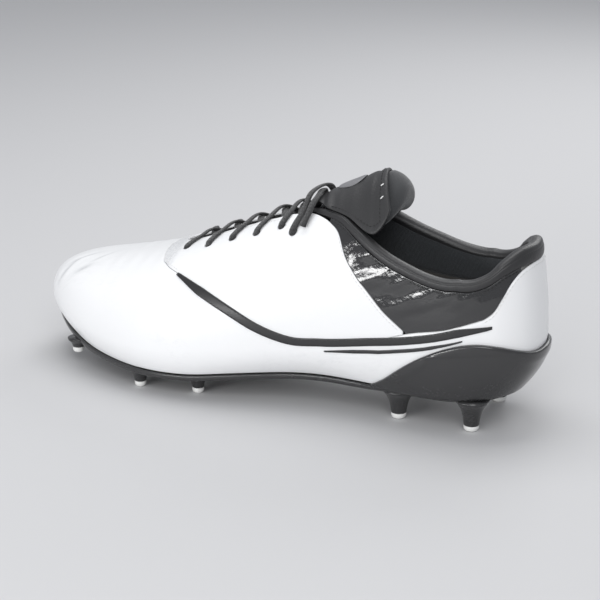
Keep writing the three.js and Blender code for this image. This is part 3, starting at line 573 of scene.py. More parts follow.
# Plain weave on the piece's flat map: crossing threads, as a height.
def makeWeaveGroup():
    tree, given, height = newGroup("woven cloth", {"Threads": 12.0, "Slant": 0.0}, "Height")
    x, y, _ = node(tree, "ShaderNodeSeparateXYZ", Vector=given["Vector"]).outputs
    turn = math(tree, "MULTIPLY", given["Threads"], 2 * pi)
    slanted = math(tree, "ADD", x, math(tree, "MULTIPLY", y, given["Slant"]))
    phases = math(tree, "MULTIPLY", slanted, turn), math(tree, "MULTIPLY", y, turn)
    warp, weft = (math(tree, "ABSOLUTE", math(tree, "SINE", phase)) for phase in phases)
    slow = (math(tree, "SINE", math(tree, "MULTIPLY", phase, 0.5)) for phase in phases)
    over = math(tree, "GREATER_THAN", math(tree, "MULTIPLY", *slow), 0.0)
    mix = node(tree, "ShaderNodeMix", data_type="FLOAT")
    for source, socket in ((over, 0), (warp, 2), (weft, 3)):
        tree.links.new(source, mix.inputs[socket])
    tree.links.new(mix.outputs[0], height)
    return tree


grainGroup, scuffGroup, weaveGroup = makeGrainGroup(), makeScuffGroup(), makeWeaveGroup()


def useGroup(tree, group, vector, **values):
    return node(tree, "ShaderNodeGroup", node_tree=group, Vector=vector, **values).outputs[0]


def newMaterial(name, values):
    material = bpy.data.materials.new(name)
    material.use_nodes = True
    shader = material.node_tree.nodes["Principled BSDF"]
    for key, value in values.items():
        shader.inputs[key].default_value = value
    return material, material.node_tree, shader.inputs


# Mix of two colours, each given as numbers or as another node's output.
def mixedColour(tree, share, *colours):
    mix = node(tree, "ShaderNodeMix", data_type="RGBA")
    tree.links.new(share, mix.inputs[0])
    for socket, colour in zip(mix.inputs[6:8], colours):
        if isinstance(colour, tuple):
            socket.default_value = (*colour, 1)
        else:
            tree.links.new(colour, socket)
    return mix.outputs[2]


# Coated and moulded finishes: colour and its rubbed tone (on the white upper the same dark tone also gives
# painted shade in creases), gloss fresh and worn, grain and scuffs.
finishes = {
    "whiteUpper": {
        "color": (0.86, 0.865, 0.87), "dark": (0.45, 0.46, 0.475), "rough": 0.36, "worn": 0.5,
        "coat": 0.15, "grain": 1500, "bump": 0.05, "scuff": 0.5, "scuffScale": 55,
    },
    "ankleGloss": {
        "color": (0.017, 0.017, 0.018), "dark": (0.034, 0.034, 0.035), "rough": 0.13, "worn": 0.28,
        "coat": 0.8, "grain": 600, "bump": 0.12, "scuff": 0.6, "scuffScale": 90,
    },
    "tapeBlack": {
        "color": (0.02, 0.02, 0.021), "dark": (0.045, 0.045, 0.045), "rough": 0.38, "worn": 0.55,
        "coat": 0.1, "grain": 1200, "bump": 0.08, "scuff": 0.6, "scuffScale": 90,
    },
    "rimBlack": {
        "color": (0.024, 0.024, 0.025), "dark": (0.045, 0.045, 0.046), "rough": 0.42, "worn": 0.6,
        "coat": 0.08, "grain": 900, "bump": 0.12, "scuff": 0.5, "scuffScale": 80,
    },
    "tongueBlack": {
        "color": (0.028, 0.028, 0.029), "dark": (0.05, 0.05, 0.051), "rough": 0.46, "worn": 0.66,
        "coat": 0.0, "grain": 1000, "bump": 0.12, "scuff": 0.5, "scuffScale": 70,
    },
    "plateBlack": {
        "color": (0.026, 0.026, 0.027), "dark": (0.05, 0.05, 0.051), "rough": 0.24, "worn": 0.5,
        "coat": 0.4, "grain": 2200, "bump": 0.04, "scuff": 0.9, "scuffScale": 70,
    },
    "tipWhite": {
        "color": (0.82, 0.82, 0.8), "dark": (0.45, 0.43, 0.4), "rough": 0.38, "worn": 0.6,
        "coat": 0.1, "grain": 2200, "bump": 0.05, "scuff": 1.0, "scuffScale": 260,
    },
    "patchGrey": {
        "color": (0.19, 0.19, 0.2), "dark": (0.12, 0.12, 0.125), "rough": 0.45, "worn": 0.6,
        "coat": 0.05, "grain": 2500, "bump": 0.06, "scuff": 0.7, "scuffScale": 200,
    },
    "threadWhite": {
        "color": (0.75, 0.75, 0.74), "dark": (0.55, 0.55, 0.54), "rough": 0.6, "worn": 0.7,
        "coat": 0.0, "grain": 3500, "bump": 0.2, "scuff": 0.3, "scuffScale": 300,
    },
    "threadBlack": {
        "color": (0.015, 0.015, 0.015), "dark": (0.04, 0.04, 0.04), "rough": 0.55, "worn": 0.7,
        "coat": 0.0, "grain": 3500, "bump": 0.2, "scuff": 0.3, "scuffScale": 300,
    },
    "fibreBoard": {
        "color": (0.6, 0.56, 0.48), "dark": (0.45, 0.41, 0.34), "rough": 0.85, "worn": 0.9,
        "coat": 0.0, "grain": 700, "bump": 0.25, "scuff": 0.6, "scuffScale": 120,
    },
    "backingFelt": {
        "color": (0.06, 0.06, 0.062), "dark": (0.1, 0.1, 0.1), "rough": 0.85, "worn": 0.92,
        "coat": 0.0, "grain": 1600, "bump": 0.4, "scuff": 0.5, "scuffScale": 150,
    },
    "foamGrey": {
        "color": (0.33, 0.33, 0.32), "dark": (0.25, 0.25, 0.24), "rough": 0.95, "worn": 0.95,
        "coat": 0.0, "grain": 1100, "bump": 0.5, "scuff": 0.3, "scuffScale": 120,
    },
}


# Moulded or coated surface: grain, worn patches, and a lighter or darker rubbed colour; with a mask, also a
# grained zone and painted shade darkening the creases.
def coatedMaterial(name, mask=None):
    look = finishes[name]
    material, tree, shader = newMaterial(
        name, {"Coat Weight": look["coat"], "Coat Roughness": look["rough"] * 0.5}
    )
    places = node(tree, "ShaderNodeTexCoord").outputs["Object"]
    scuffs = useGroup(tree, scuffGroup, places, Scale=look["scuffScale"], Amount=look["scuff"])
    wear = {"To Min": look["rough"], "To Max": look["worn"]}
    rough = node(tree, "ShaderNodeMapRange", Value=scuffs, **wear)
    tree.links.new(rough.outputs[0], shader["Roughness"])
    height = useGroup(tree, grainGroup, places, Scale=look["grain"])
    tint = math(tree, "MULTIPLY", scuffs, 0.6)
    if mask:
        raised = node(tree, "ShaderNodeAttribute", attribute_name=mask["name"]).outputs["Fac"]
        # Painted shade: the colour darkens towards the dark tone where the toe box's pressed creases lie.
        creaseShade = node(tree, "ShaderNodeAttribute", attribute_name="creaseShade").outputs["Fac"]
        zone = math(tree, "MULTIPLY", useGroup(tree, grainGroup, places, Scale=mask["scale"]), raised)
        height = math(tree, "ADD", height, math(tree, "MULTIPLY", zone, mask["gain"]))
        tint = math(tree, "ADD", tint, math(tree, "MULTIPLY", zone, mask["tint"]))
        tint = math(tree, "ADD", tint, math(tree, "MULTIPLY", creaseShade, mask["creaseShadeGain"]), True)
    tree.links.new(mixedColour(tree, tint, look["color"], look["dark"]), shader["Base Color"])
    bump = node(tree, "ShaderNodeBump", Strength=look["bump"], Distance=0.0006, Height=height)
    tree.links.new(bump.outputs[0], shader["Normal"])
    return material


cloths = {
    "liningCloth": {
        "color": (0.024, 0.027, 0.030), "light": (0.047, 0.052, 0.057),
        "threads": 9, "slant": 0.5, "bump": 0.35,
    },
    "liningBrown": {
        "color": (0.036, 0.033, 0.030), "light": (0.066, 0.061, 0.056),
        "threads": 9, "slant": 0.5, "bump": 0.35,
    },
    "padCloth": {
        "color": (0.030, 0.032, 0.034), "light": (0.054, 0.056, 0.059),
        "threads": 10, "slant": 0.0, "bump": 0.25,
    },
    "laceCloth": {
        "color": (0.004, 0.004, 0.0045), "light": (0.016, 0.016, 0.017),
        "threads": 11, "slant": 1.0, "bump": 0.7,
    },
    "sockCloth": {
        "color": (0.055, 0.055, 0.06), "light": (0.1, 0.1, 0.105),
        "threads": 8, "slant": 0.0, "bump": 0.4,
    },
}


# Cloth with its threads on the piece's flat map, a soft sheen, and a slow change of tone.
def clothMaterial(name, other=None):
    look = cloths[name]
    surface = {"Roughness": 0.85, "Sheen Weight": 0.35, "Sheen Roughness": 0.5}
    material, tree, shader = newMaterial(name, surface)
    places = node(tree, "ShaderNodeTexCoord").outputs
    weave = useGroup(tree, weaveGroup, places["UV"], Threads=look["threads"], Slant=look["slant"])
    noise = node(tree, "ShaderNodeTexNoise", Vector=places["Object"], Scale=70.0, Detail=4.0, Roughness=0.6)
    tone = noise.outputs[0]
    share = math(tree, "ADD", math(tree, "MULTIPLY", weave, 0.55), math(tree, "MULTIPLY", tone, 0.45))
    result = mixedColour(tree, share, look["color"], look["light"])
    if other:
        lower = mixedColour(tree, share, cloths[other]["color"], cloths[other]["light"])
        lowPart = node(tree, "ShaderNodeAttribute", attribute_name="lowPart").outputs["Fac"]
        result = mixedColour(tree, lowPart, result, lower)
    tree.links.new(result, shader["Base Color"])
    height = math(tree, "ADD", weave, math(tree, "MULTIPLY", tone, 0.5))
    bump = node(tree, "ShaderNodeBump", Strength=look["bump"], Distance=0.0004, Height=height)
    tree.links.new(bump.outputs[0], shader["Normal"])
    return material


# The white upper's mask: a grained zone with its own grain and tone, and the strength of the painted shade in
# the toe box's creases.
grainedZone = {"name": "grained", "scale": 800, "gain": 5.0, "tint": 0.55, "creaseShadeGain": 0.75}
materials = {name: coatedMaterial(name) for name in finishes if name != "whiteUpper"}
materials["whiteUpper"] = coatedMaterial("whiteUpper", grainedZone)
materials.update({name: clothMaterial(name) for name in cloths if name != "liningCloth"})
materials["liningCloth"] = clothMaterial("liningCloth", "liningBrown")
print("finishes made")

# Sizes in millimetres; under and over are offsets from the last's face.
lace = {
    "width": 3.9,
    "thickness": 1.5,
    "sides": 20,
    "roundMap": 9.6,
    "holeRadius": 0.0023,
    "holeDepth": 0.009,
    "cross": 191.5,
    "stations": [190 - 13.8 * k for k in range(5)] + [127],
    "eyeletOut": [(127, 21.8), (135, 18.3), (148, 19.3), (162, 19.3), (176, 19.8), (190, 17.5)],
    "under": -4.1,
    "over": 1.1,
    "tongueDepth": [(112, 5), (118, 2.6), (125, -1.5), (132, -5), (140, -6.2), (206, -6.2)],
}


# A place on the last by station and distance out, with the face's normal there.
def stop(station, out, offset):
    side = -1 if out < 0 else 1
    rise = np.minimum(riseAtOut(station, side, abs(out)), 1)
    girth = girthAt(station, side)
    return np.concatenate([onLast(girth, rise, offset), faceNormal(girth, rise)])


def eyeletTurn(station, side):
    out = float(smooth(lace["eyeletOut"], station)) * side
    under, over = lace["under"], lace["over"]
    middle, bend = (under + over) / 2, (over - under) / 2
    return [
        stop(station + 0.6, out - 2.4 * side, under),
        stop(station + 0.3, out - 0.1 * side, middle - bend * 0.8),
        stop(station, out + 0.8 * side, middle),
        stop(station - 0.3, out - 0.1 * side, middle + bend * 0.8),
        stop(station - 1.2, out - 2.6 * side, over),
    ]


def laceCrossing(start, end, side, height):
    near = float(smooth(edges["throatHalf"], start)) * side
    far = -float(smooth(edges["throatHalf"], end)) * side
    nextOut = -float(smooth(lace["eyeletOut"], end)) * side
    lifted = max(float(smooth(lace["tongueDepth"], (start + end) / 2)) + 0.8, -1.6)
    run = end - start
    return [
        stop(start + 0.3 * run, near * 0.95, lace["over"]),
        stop(start + 0.5 * run, 0.001, lifted + height),
        stop(start + 0.72 * run, far * 0.66, max(lace["under"] + 1.4, lifted - 0.4)),
        stop(start + 0.86 * run, far + 0.25 * (nextOut - far), lace["under"]),
    ]


def laceStrand(firstSide, high):
    stops = []
    half = 0.95
    for k in range(len(lace["stations"]) - 1):
        side = -firstSide if k % 2 else firstSide
        height = half + (-1 if k % 2 else 1) * high * (half + 0.25) + 0.8
        stops += eyeletTurn(lace["stations"][k], side)
        stops += laceCrossing(lace["stations"][k], lace["stations"][k + 1], side, height)
    return stops


def laceEnd(side, height):
    over = lace["over"]
    return eyeletTurn(127, side) + [
        stop(123.8, 13 * side, over + 0.6),
        stop(121.2, 7 * side, height - 0.6),
        stop(119, 0.001 * side, height),
        stop(118, -7 * side, height - 0.4),
        stop(118.2, -12 * side, over + 2.6),
        stop(119.4, -17 * side, over + 1.5),
        stop(120.8, -21 * side, over + 1.1),
    ]


# Curve through points with spacing by the root of their distance, so that it never loops between them.
def throughPoints(points, perSpan):
    ends = np.concatenate([[2 * points[0] - points[1]], points, [2 * points[-1] - points[-2]]])
    made = []
    for i in range(1, len(ends) - 2):
        p = ends[i - 1 : i + 3]
        knots = np.concatenate([[0], np.cumsum(np.sqrt(np.linalg.norm(np.diff(p[:, :3], axis=0), axis=1)))])
        t = np.linspace(knots[1], knots[2], perSpan, endpoint=False)[:, None]

        def mix(a, b, ta, tb):
            return (tb - t) / (tb - ta) * a + (t - ta) / (tb - ta) * b

        a1, a2, a3 = (mix(p[k], p[k + 1], knots[k], knots[k + 1]) for k in range(3))
        b1, b2 = mix(a1, a2, knots[0], knots[2]), mix(a2, a3, knots[1], knots[3])
        made.append(mix(b1, b2, knots[1], knots[2]))
    return np.concatenate(made + [points[-1:]])


def makeLace():
    first = laceEnd(-1, 4)[::-1] + laceStrand(-1, -1)[::-1]
    second = laceStrand(1, 1) + laceEnd(1, 6.2)
    stops = np.array(first + [stop(lace["cross"], 0.001, lace["under"])] + second)
    path = throughPoints(stops, 7)
    centres, normals = path[:, :3], unit(path[:, 3:])
    ahead = unit(np.gradient(centres, axis=0))
    across = np.cross(normals, ahead)
    wide = np.array([1.0, 0, 0])
    lengths = np.concatenate([[0], np.cumsum(np.linalg.norm(np.diff(centres, axis=0), axis=1))])
    turns = np.linspace(0, 2 * pi, lace["sides"], endpoint=False)
    round_ = np.linspace(0, lace["roundMap"], lace["sides"] + 1)
    rings, flat = [], []
    for i in range(len(centres)):
        step = across[i] if across[i] @ wide > 0 else -across[i]
        sure = min(max(np.linalg.norm(across[i]) * 2 - 0.8, 0), 1) * 0.35
        wide = wide * (1 - sure) + unit(step) * sure
        wide = unit(wide - ahead[i] * (wide @ ahead[i]))
        thick = np.cross(ahead[i], wide)
        pull = 1 - 0.12 * (0.5 + 0.5 * sin(lengths[i] * 0.35))
        u, v = np.cos(turns), np.sin(turns)
        squared = np.sign(v) * np.abs(v) ** 0.7
        rings.append(centres[i] + wide * (u[:, None] * lace["width"] / 2 * pull)
                     + thick * (squared[:, None] * lace["thickness"] / 2))
        flat.append(np.stack([np.full(len(round_), lengths[i]), round_], axis=-1))
    piece = tubePiece("lace", np.array(rings), materials["laceCloth"], np.array(flat).reshape(-1, 2))
    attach(piece, "shoe")
    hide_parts("lace")
    return lengths[-1]


print(f"lace threaded, {makeLace():.0f} mm")


# Places of a mesh's vertices in the drawing's millimetres.
def drawn(piece):
    places = np.zeros(len(piece.data.vertices) * 3, np.float32)
    piece.data.vertices.foreach_get("co", places)
    origin = np.array(placed((0, 0, 0)))
    return (places.reshape(-1, 3) - origin) * (-1000, -1000, 1000)


def paint(piece, name, values):
    layer = piece.data.attributes.new(name, "FLOAT", "POINT")
    layer.data.foreach_set("value", np.asarray(values, np.float32))


upper = {
    "thickness": 1.3,
    "dents": [
        (262, -2, 7, 1.6, 0.9, 0.5), (268, 6, 5, 1.5, 0.8, 0.9), (255, 12, 5, 1.8, 0.6, 0.2),
        (248, 2, 6, 1.4, 0.5, 0.9),
    ],
    "rows": 56,
}


# Shallow creases pressed into the toe box: station, out, half length, half width, depth, turn.
def dentDepth(x, y):
    depth = np.zeros(x.shape)
    for station, out, length, width, deep, turn in upper["dents"]:
        u = (x - station) * cos(turn) + (y - out) * sin(turn)
        v = -(x - station) * sin(turn) + (y - out) * cos(turn)
        depth -= deep * np.exp(-((u / length) ** 2) - (v / width) ** 2)
        depth += deep * 0.45 * np.exp(-((u / length) ** 2) - ((v - 2.2 * width) / width) ** 2)
    return depth


def toeDents(girth, rise):
    points = facePoint(girth, rise)
    u, v = points[..., 0], points[..., 1]
    bend = ease(u, 196, 214) * (1 - ease(u, 232, 246)) * ease(rise, 0.1, 0.5)
    creases = 0.16 * bend * np.sin(u * 0.62 + 1.4 * np.sin(v * 0.11) + 0.5)
    return dentDepth(u, v) + creases * (0.6 + 0.4 * np.sin(v * 0.23 + u * 0.05))


# Vamp and heel panel are stretched as one skin right round the foot.
def makeVamp():
    girths = np.concatenate([[0], roundToe(0.0)[4:-4], [girthTotal]])
    heel = twin(girths % girthTotal) < edges["heelSeam"]
    top = np.where(heel, heelTop(girths), edge("vampTop", girths))
    ridge = top > nearRidge
    top = np.where(ridge, 1.0, top - gap / 2 / riseScale(girths, np.minimum(top, 0.98)))
    outer, inner, flat = panelGrid(
        girths, -1.0, top, upper["rows"], upper["thickness"], relief=toeDents, roundEnds=False,
        roundTop=np.where(ridge, 0.0, 1.0),
    )
    piece = shellPiece(
        "vamp_shell", outer, inner, materials["whiteUpper"], flat, openTop=ridge, weld=0.03, ring=True
    )
    places = drawn(piece)
    paint(piece, "grained", np.zeros(len(places)))
    # Painted shade: the deeper a crease is pressed into the toe box, the darker its colour, above 40 mm only.
    paint(piece, "creaseShade", np.clip(-dentDepth(places[:, 0], places[:, 1]) / 0.8, 0, 1) * (places[:, 2] > 40))
    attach(piece, "shoe")
    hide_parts("vamp", "heel_panel")


def quarterGirths(side):
    front = girthAt(np.array([185.0, 200.0]), 1)
    plain = np.arange(0, toeGirth, 1.5)
    fine = np.arange(front[0], front[1], 0.4)
    both = np.unique(np.concatenate([plain[(plain < front[0]) | (plain > front[1])], fine]))
    return sideGirths(withEnds(both, edges["ankleSeam"] + 1.5, edges["bridge"] - 0.5), side)


def quarterRelief(girth, rise):
    station = outlineAt(girth)[0]
    slack = 0.22 * np.sin(station * 0.42 + 3 * rise) * ease(rise, 0.45, 0.75) * (1 - ease(station, 150, 185))
    return 0.3 * ease(twin(girth), 196, 212) + slack


# Round holes are punched along the throat before the panels are set down.
def punchEyelets(piece):
    work = bmesh.new()
    for side in (1, -1):
        for station in lace["stations"]:
            spot = stop(station, float(smooth(lace["eyeletOut"], station)) * side, -2.0)
            centre, axis = Vector(placed(spot[:3])), Vector((-spot[3], -spot[4], spot[5]))
            turned = axis.to_track_quat("Z", "Y").to_matrix().to_4x4()
            turned.translation = centre
            bmesh.ops.create_cone(
                work, cap_ends=True, segments=28, radius1=lace["holeRadius"], radius2=lace["holeRadius"],
                depth=lace["holeDepth"], matrix=turned,
            )
    mesh = bpy.data.meshes.new("punch")
    work.to_mesh(mesh)
    work.free()
    punch = link(bpy.data.objects.new("punch", mesh))
    modifier = piece.modifiers.new("eyelets", "BOOLEAN")
    modifier.operation = "DIFFERENCE"
    modifier.solver = "EXACT"
    modifier.object = punch
    bpy.context.view_layer.update()
    cut = bpy.data.meshes.new_from_object(piece.evaluated_get(bpy.context.evaluated_depsgraph_get()))
    piece.modifiers.remove(modifier)
    piece.data = cut
    bpy.data.objects.remove(punch)


def makeQuarters():
    points, faces, flats = [], [], []
    start = 0
    for side in (1, -1):
        girths = quarterGirths(side)
        low = edge("vampTop", girths)
        high = np.maximum(quarterTop(girths), low + 0.004)
        ridge = high > nearRidge
        outer, inner, flat = panelGrid(
            girths, low, np.minimum(high, 1), 44, upper["thickness"], relief=quarterRelief,
            roundTop=np.where(ridge, 0.0, 1.0),
        )
        points += [outer.reshape(-1, 3), inner.reshape(-1, 3)]
        flats += [flat.reshape(-1, 2)] * 2
        faces += shellFaces(*outer.shape[:2], start, flip=side < 0, openTop=ridge)
        start += 2 * flat[..., 0].size
    flats = np.concatenate(flats)
    piece = meshPiece("quarters", np.concatenate(points), faces, materials["whiteUpper"], flats, 0.03)
    punchEyelets(piece)
    station = drawn(piece)[:, 0]
    paint(piece, "grained", ease(station, 191, 197))
    # The quarters get no painted crease shade.
    paint(piece, "creaseShade", np.zeros(len(station)))
    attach(piece, "shoe")
    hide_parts("quarter_lateral", "quarter_medial")


# Crinkles of the soft gloss panel under the collar, running with the collar and breaking up.
def crinkles(girth, rise):
    u, v = twin(girth), rise * 95
    side = np.where(girth < 0, 1.7, 0.0)
    long = np.sin(0.5 * v + 0.9 * np.sin(0.07 * u + side) + 0.5 * np.sin(0.17 * u + 0.4))
    short = np.sin(0.15 * u + 1.2 * np.sin(0.24 * v + side)) * np.sin(0.16 * v + 0.8)
    fine = np.sin(1.1 * v + 1.6 * np.sin(0.13 * u) + side) * np.sin(0.31 * u + 0.5 * v)
    middle = ease(rise, 0.1, 0.17) * (0.35 + 0.65 * (1 - ease(rise, 0.3, 0.6)))
    return (0.38 * long * (0.65 + 0.35 * short) + 0.3 * short + 0.08 * fine) * middle


def makeAnklePanels():
    for name, side in (("lateral", 1), ("medial", -1)):
        girths = oneSide(19, 126, side, 0.9)
        low = np.where(
            twin(girths) < edges["heelSeam"], heelTop(girths),
            np.where(twin(girths) < edges["ankleSeam"], edge("vampTop", girths), ankleFront(girths)),
        )
        high = rimBottom(girths)
        low = np.minimum(low + gap / 2 / riseScale(girths, low), high - 0.006)
        outer, inner, flat = panelGrid(girths, low, high, 60, upper["thickness"], relief=crinkles)
        piece = shellPiece(f"ankle_gloss_{name}", outer, inner, materials["ankleGloss"], flat)
        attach(piece, "shoe")
        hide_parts(f"ankle_panel_{name}")


tapes = {"upper": 4.2, "lower": 1.8, "taperRun": 16}


# Places across a strip that runs along an edge line on one side of the shoe; its ends taper.
def stripPlaces(line, side, across, step=1.2):
    knots = edges[line]
    girths = np.arange(knots[0][0], knots[-1][0] + 0.01, step)
    own = sideGirths(girths, side)
    rise = smooth(knots, girths)
    climb = (smooth(knots, girths + 1) - smooth(knots, girths - 1)) / 2
    lean = climb * riseScale(own, rise) / girthScale(own, rise)
    long = np.hypot(1, lean)
    ends = np.minimum(girths - girths[0], girths[-1] - girths) / tapes["taperRun"]
    width = 0.35 + 0.65 * np.minimum(ends, 1)
    across = np.asarray(across, float)[None, :] * width[:, None]
    girth = own[:, None] - across * (lean / long / girthScale(own, rise))[:, None] * side
    own, rise = (np.broadcast_to(values[:, None], across.shape) for values in (own, rise))
    return girth, shiftedRise(own, rise, across / long[:, None])


def makeTapes():
    across = np.array([-1, -0.985, -0.94, -0.86, -0.6, 0, 0.6, 0.86, 0.94, 0.985, 1]) / 2
    lift = np.array([0.02, 0.3, 0.48, 0.57, 0.6, 0.62, 0.6, 0.57, 0.48, 0.3, 0.02])
    for line in ("upper", "lower"):
        for name, side in (("lateral", 1), ("medial", -1)):
            girth, rise = stripPlaces(f"{line}Tape", side, across * tapes[line])
            ends = np.minimum(np.minimum(np.arange(len(girth)), np.arange(len(girth))[::-1]), 1)[:, None]
            outer = onLast(girth, rise, 0.16 + lift * (0.35 + 0.65 * ends))
            inner = onLast(girth, rise, 0.05 + 0 * girth)
            flat = np.stack([girth, rise * 90], axis=-1)
            piece = shellPiece(f"tape_{line}_{name}", outer, inner, materials["tapeBlack"], flat)
            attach(piece, "shoe")
            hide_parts(f"seam_tape_{line}_{name}")


makeVamp()
makeQuarters()
makeAnklePanels()
makeTapes()
print("upper panels stretched")

# Offsets from the last's face, and rises.
collar = {
    "inside": -6.5, "seam": 0.5, "liningFoot": -0.75, "counterTop": 0.06, "cloth": 0.5, "liningFace": -6.3,
    "heelFace": -3.9, "toeFace": -3.5,
}


# Rounds off a closed polygon of points by cutting its corners.
def chaikin(points, times):
    for _ in range(times):
        ahead = np.roll(points, -1, axis=0)
        points = np.stack([0.75 * points + 0.25 * ahead, 0.25 * points + 0.75 * ahead], axis=1)
        points = points.reshape(-1, points.shape[-1])
    return points


def makeRim():
    girths = roundHeel(140.7, 1.2)
    rings = []
    for girth in girths:
        low, high = float(rimBottom(girth)), float(edge("topline", girth))
        lip = 1.5 / float(riseScale(girth, high))
        inside = collar["inside"]
        section = np.array([
            [low, -0.9], [low, -0.1], [low + 0.25 * (high - low), 0.4], [low + 0.55 * (high - low), 0.45],
            [low + 0.62 * (high - low), 0.2], [low + 0.7 * (high - low), 0.35], [high - lip * 0.5, 0.0],
            [high + lip * 0.2, -1.5], [high + lip * 0.3, -3.3], [high + lip * 0.2, inside + 1.4],
            [high - lip, inside - 0.1], [low + 0.4 * (high - low), inside - 0.1], [low, inside - 0.1],
            [low, -3.2],
        ])
        section = chaikin(section, 2)
        rings.append(onLast(np.full(len(section), girth), section[:, 0], section[:, 1]))
    rings = np.array(rings)
    length = lengthAlong(girths)
    round_ = np.linspace(0, 24, rings.shape[1] + 1)
    flat = np.stack(np.broadcast_arrays(length[:, None], round_[None, :]), axis=-1).reshape(-1, 2)
    piece = tubePiece("collar_roll", rings, materials["rimBlack"], flat)
    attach(piece, "shoe")
    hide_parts("collar_rim")


def makeLinings():
    girths = roundHeel(134, 1.5)
    low = np.full(len(girths), collar["counterTop"])
    high = rimBottom(girths) + 0.012

    def upTheCollar(girth, rise):
        top = rimBottom(girth)
        return np.clip((rise - collar["counterTop"]) / np.maximum(top - collar["counterTop"], 0.01), 0, 1)

    def bulge(girth, rise):
        t = upTheCollar(girth, rise)
        puff = np.sin(pi * np.clip(0.9 * t, 0, 1)) ** 0.7
        slack = 0.3 * np.sin(girth * 0.13 + 4 * t) * np.sin(girth * 0.05 + 1)
        seam = 0.7 * np.exp(-(((t - collar["seam"]) / 0.025) ** 2))
        return -(1.3 * puff + slack * puff) + seam

    outer, inner, flat = panelGrid(
        girths, low, high, 54, -collar["cloth"], collar["liningFace"], bulge, roundEnds=False, roundTop=False
    )
    piece = shellPiece("collar_cloth", outer, inner, materials["liningCloth"], flat)
    places = np.zeros(len(piece.data.loops) * 2, np.float32)
    piece.data.uv_layers["flat"].data.foreach_get("uv", places)
    corners = np.zeros(len(piece.data.loops), int)
    piece.data.loops.foreach_get("vertex_index", corners)
    share = np.zeros(len(piece.data.vertices), np.float32)
    scale = riseScale(girths, np.minimum((low + high) / 2, 0.98))
    length = lengthAlong(girths)
    run = places[::2] * flatUnit
    rise = places[1::2] * flatUnit / np.interp(run, length, scale)
    climb = upTheCollar(np.interp(run, length, girths), rise)
    share[corners] = 1 - ease(climb, collar["seam"] - 0.02, collar["seam"])
    paint(piece, "lowPart", share)
    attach(piece, "shoe")
    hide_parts("collar_lining")

    outer, inner, flat = panelGrid(
        girths, collar["liningFoot"], low + 0.012, 30, -collar["cloth"], collar["heelFace"], roundEnds=False
    )
    piece = shellPiece("heel_cloth", outer, inner, materials["liningBrown"], flat)
    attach(piece, "shoe")
    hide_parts("heel_lining")

    girths = roundToe(137, 2.0)
    knots = [(134, 0.36), (150, 0.44), (196, 0.5), (212, 0.58), (226, 1)]
    high = np.where(twin(girths) >= 226, 1, smooth(knots, twin(girths)))
    outer, inner, flat = panelGrid(
        girths, collar["liningFoot"], high, 30, -collar["cloth"], collar["toeFace"], roundEnds=False,
        roundTop=False,
    )
    piece = shellPiece(
        "toe_cloth", outer, inner, materials["liningBrown"], flat, openTop=high > nearRidge, weld=0.05
    )
    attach(piece, "shoe")
    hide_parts("vamp_lining")


makeRim()
makeLinings()
print("collar and linings sewn")

# Inset from the feather line, and heights over it.
sock = {"inset": -5.0, "bottom": 2.1, "top": 6.1, "bend": (194, 184), "level": 15}


# Point of the level outline under a girth, grown sideways and lifted from the feather line.
def levelPoint(girth, grow, lift, toMiddle=1.0):
    along, out = outlineAt(girth)
    hub = hubOf(along)
    middle = smooth(last["spine"], hub)
    reach = np.hypot(along - hub, out - middle)
    width = (1 - smooth(last["featherInset"], along) / reach + grow / reach) * toMiddle
    feather = smooth(last["feather"], along) * toMiddle + smooth(last["feather"], hub) * (1 - toMiddle)
    x, y = hub + (along - hub) * width, middle + (out - middle) * width
    return np.stack(np.broadcast_arrays(x, y, feather + lift), axis=-1)


# Closed body of loops round the foot outline, from the middle of one face to the middle of the other.
def loopBody(name, loops, material):
    half = np.arange(0, girthAt(last["toeHub"], 1), 1.8)
    half = np.append(half, girthAt(last["toeHub"], 1))
    toe = np.linspace(half[-1], girthTotal + mirrored(half[-1]), 60)[1:-1]
    girths = np.concatenate([half, toe, (girthTotal + mirrored(half[1:]))[::-1]])
    rounds = [levelPoint(girths, grow(girths), lift(girths), share) for grow, lift, share in loops]
    grid = np.stack(rounds, axis=1)
    faces = gridFaces(len(girths), len(loops), wrap=True)
    flat = grid[..., :2].reshape(-1, 2)
    return meshPiece(name, grid.reshape(-1, 3), faces, material, flat, weld=0.03)


def steady(value):
    return lambda girths: np.full(len(girths), float(value))


def makeSockliner():
    top, bottom, inset = sock["top"], sock["bottom"], sock["inset"]

    def cupped(height, share):
        return lambda girths: height + 0.9 * share**6 * (1 - ease(outlineAt(girths)[0], 120, 180))

    loops = [(steady(inset), cupped(top, share), share) for share in (0, 0.2, 0.4, 0.6, 0.75, 0.88, 0.96)]
    loops += [
        (steady(inset - 0.5), cupped(top - 0.1, 1), 1), (steady(inset - 0.1), cupped(top - 0.7, 1), 1),
        (steady(inset), steady(bottom + 1.2), 1), (steady(inset - 0.3), steady(bottom), 1),
    ]
    loops += [(steady(inset), steady(bottom), share) for share in (0.9, 0.5, 0)]
    piece = loopBody("sockliner", loops, materials["sockCloth"])
    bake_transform(piece)
    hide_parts("sockliner_rear", "sockliner_front")


makeSockliner()

# Rim and cup are how far the plate stands out; studs as (name, station, out).
plate = {
    "rim": 1.2,
    "cup": 2.5,
    "bottom": -3.5,
    "studTip": 3.0,
    "heelTip": 3.9,
    "heelRoot": 6.8,
    "foreTip": 3.1,
    "foreRoot": 4.9,
    "studs": [
        ("heel_lateral_rear", 29, 22.5), ("heel_medial_rear", 29, -21.5), ("heel_lateral_front", 68, 21.4),
        ("heel_medial_front", 68, -20.5), ("fore_lateral_rear", 176, 32), ("fore_medial_rear", 172, -32),
        ("fore_lateral_middle", 208, 36), ("fore_medial_middle", 212, -38), ("fore_lateral_front", 254, 21),
        ("fore_medial_front", 253, -30), ("fore_centre", 226, -4),
    ],
    "toeStudHeight": 7,
    "toeStudsFrom": 240,
}


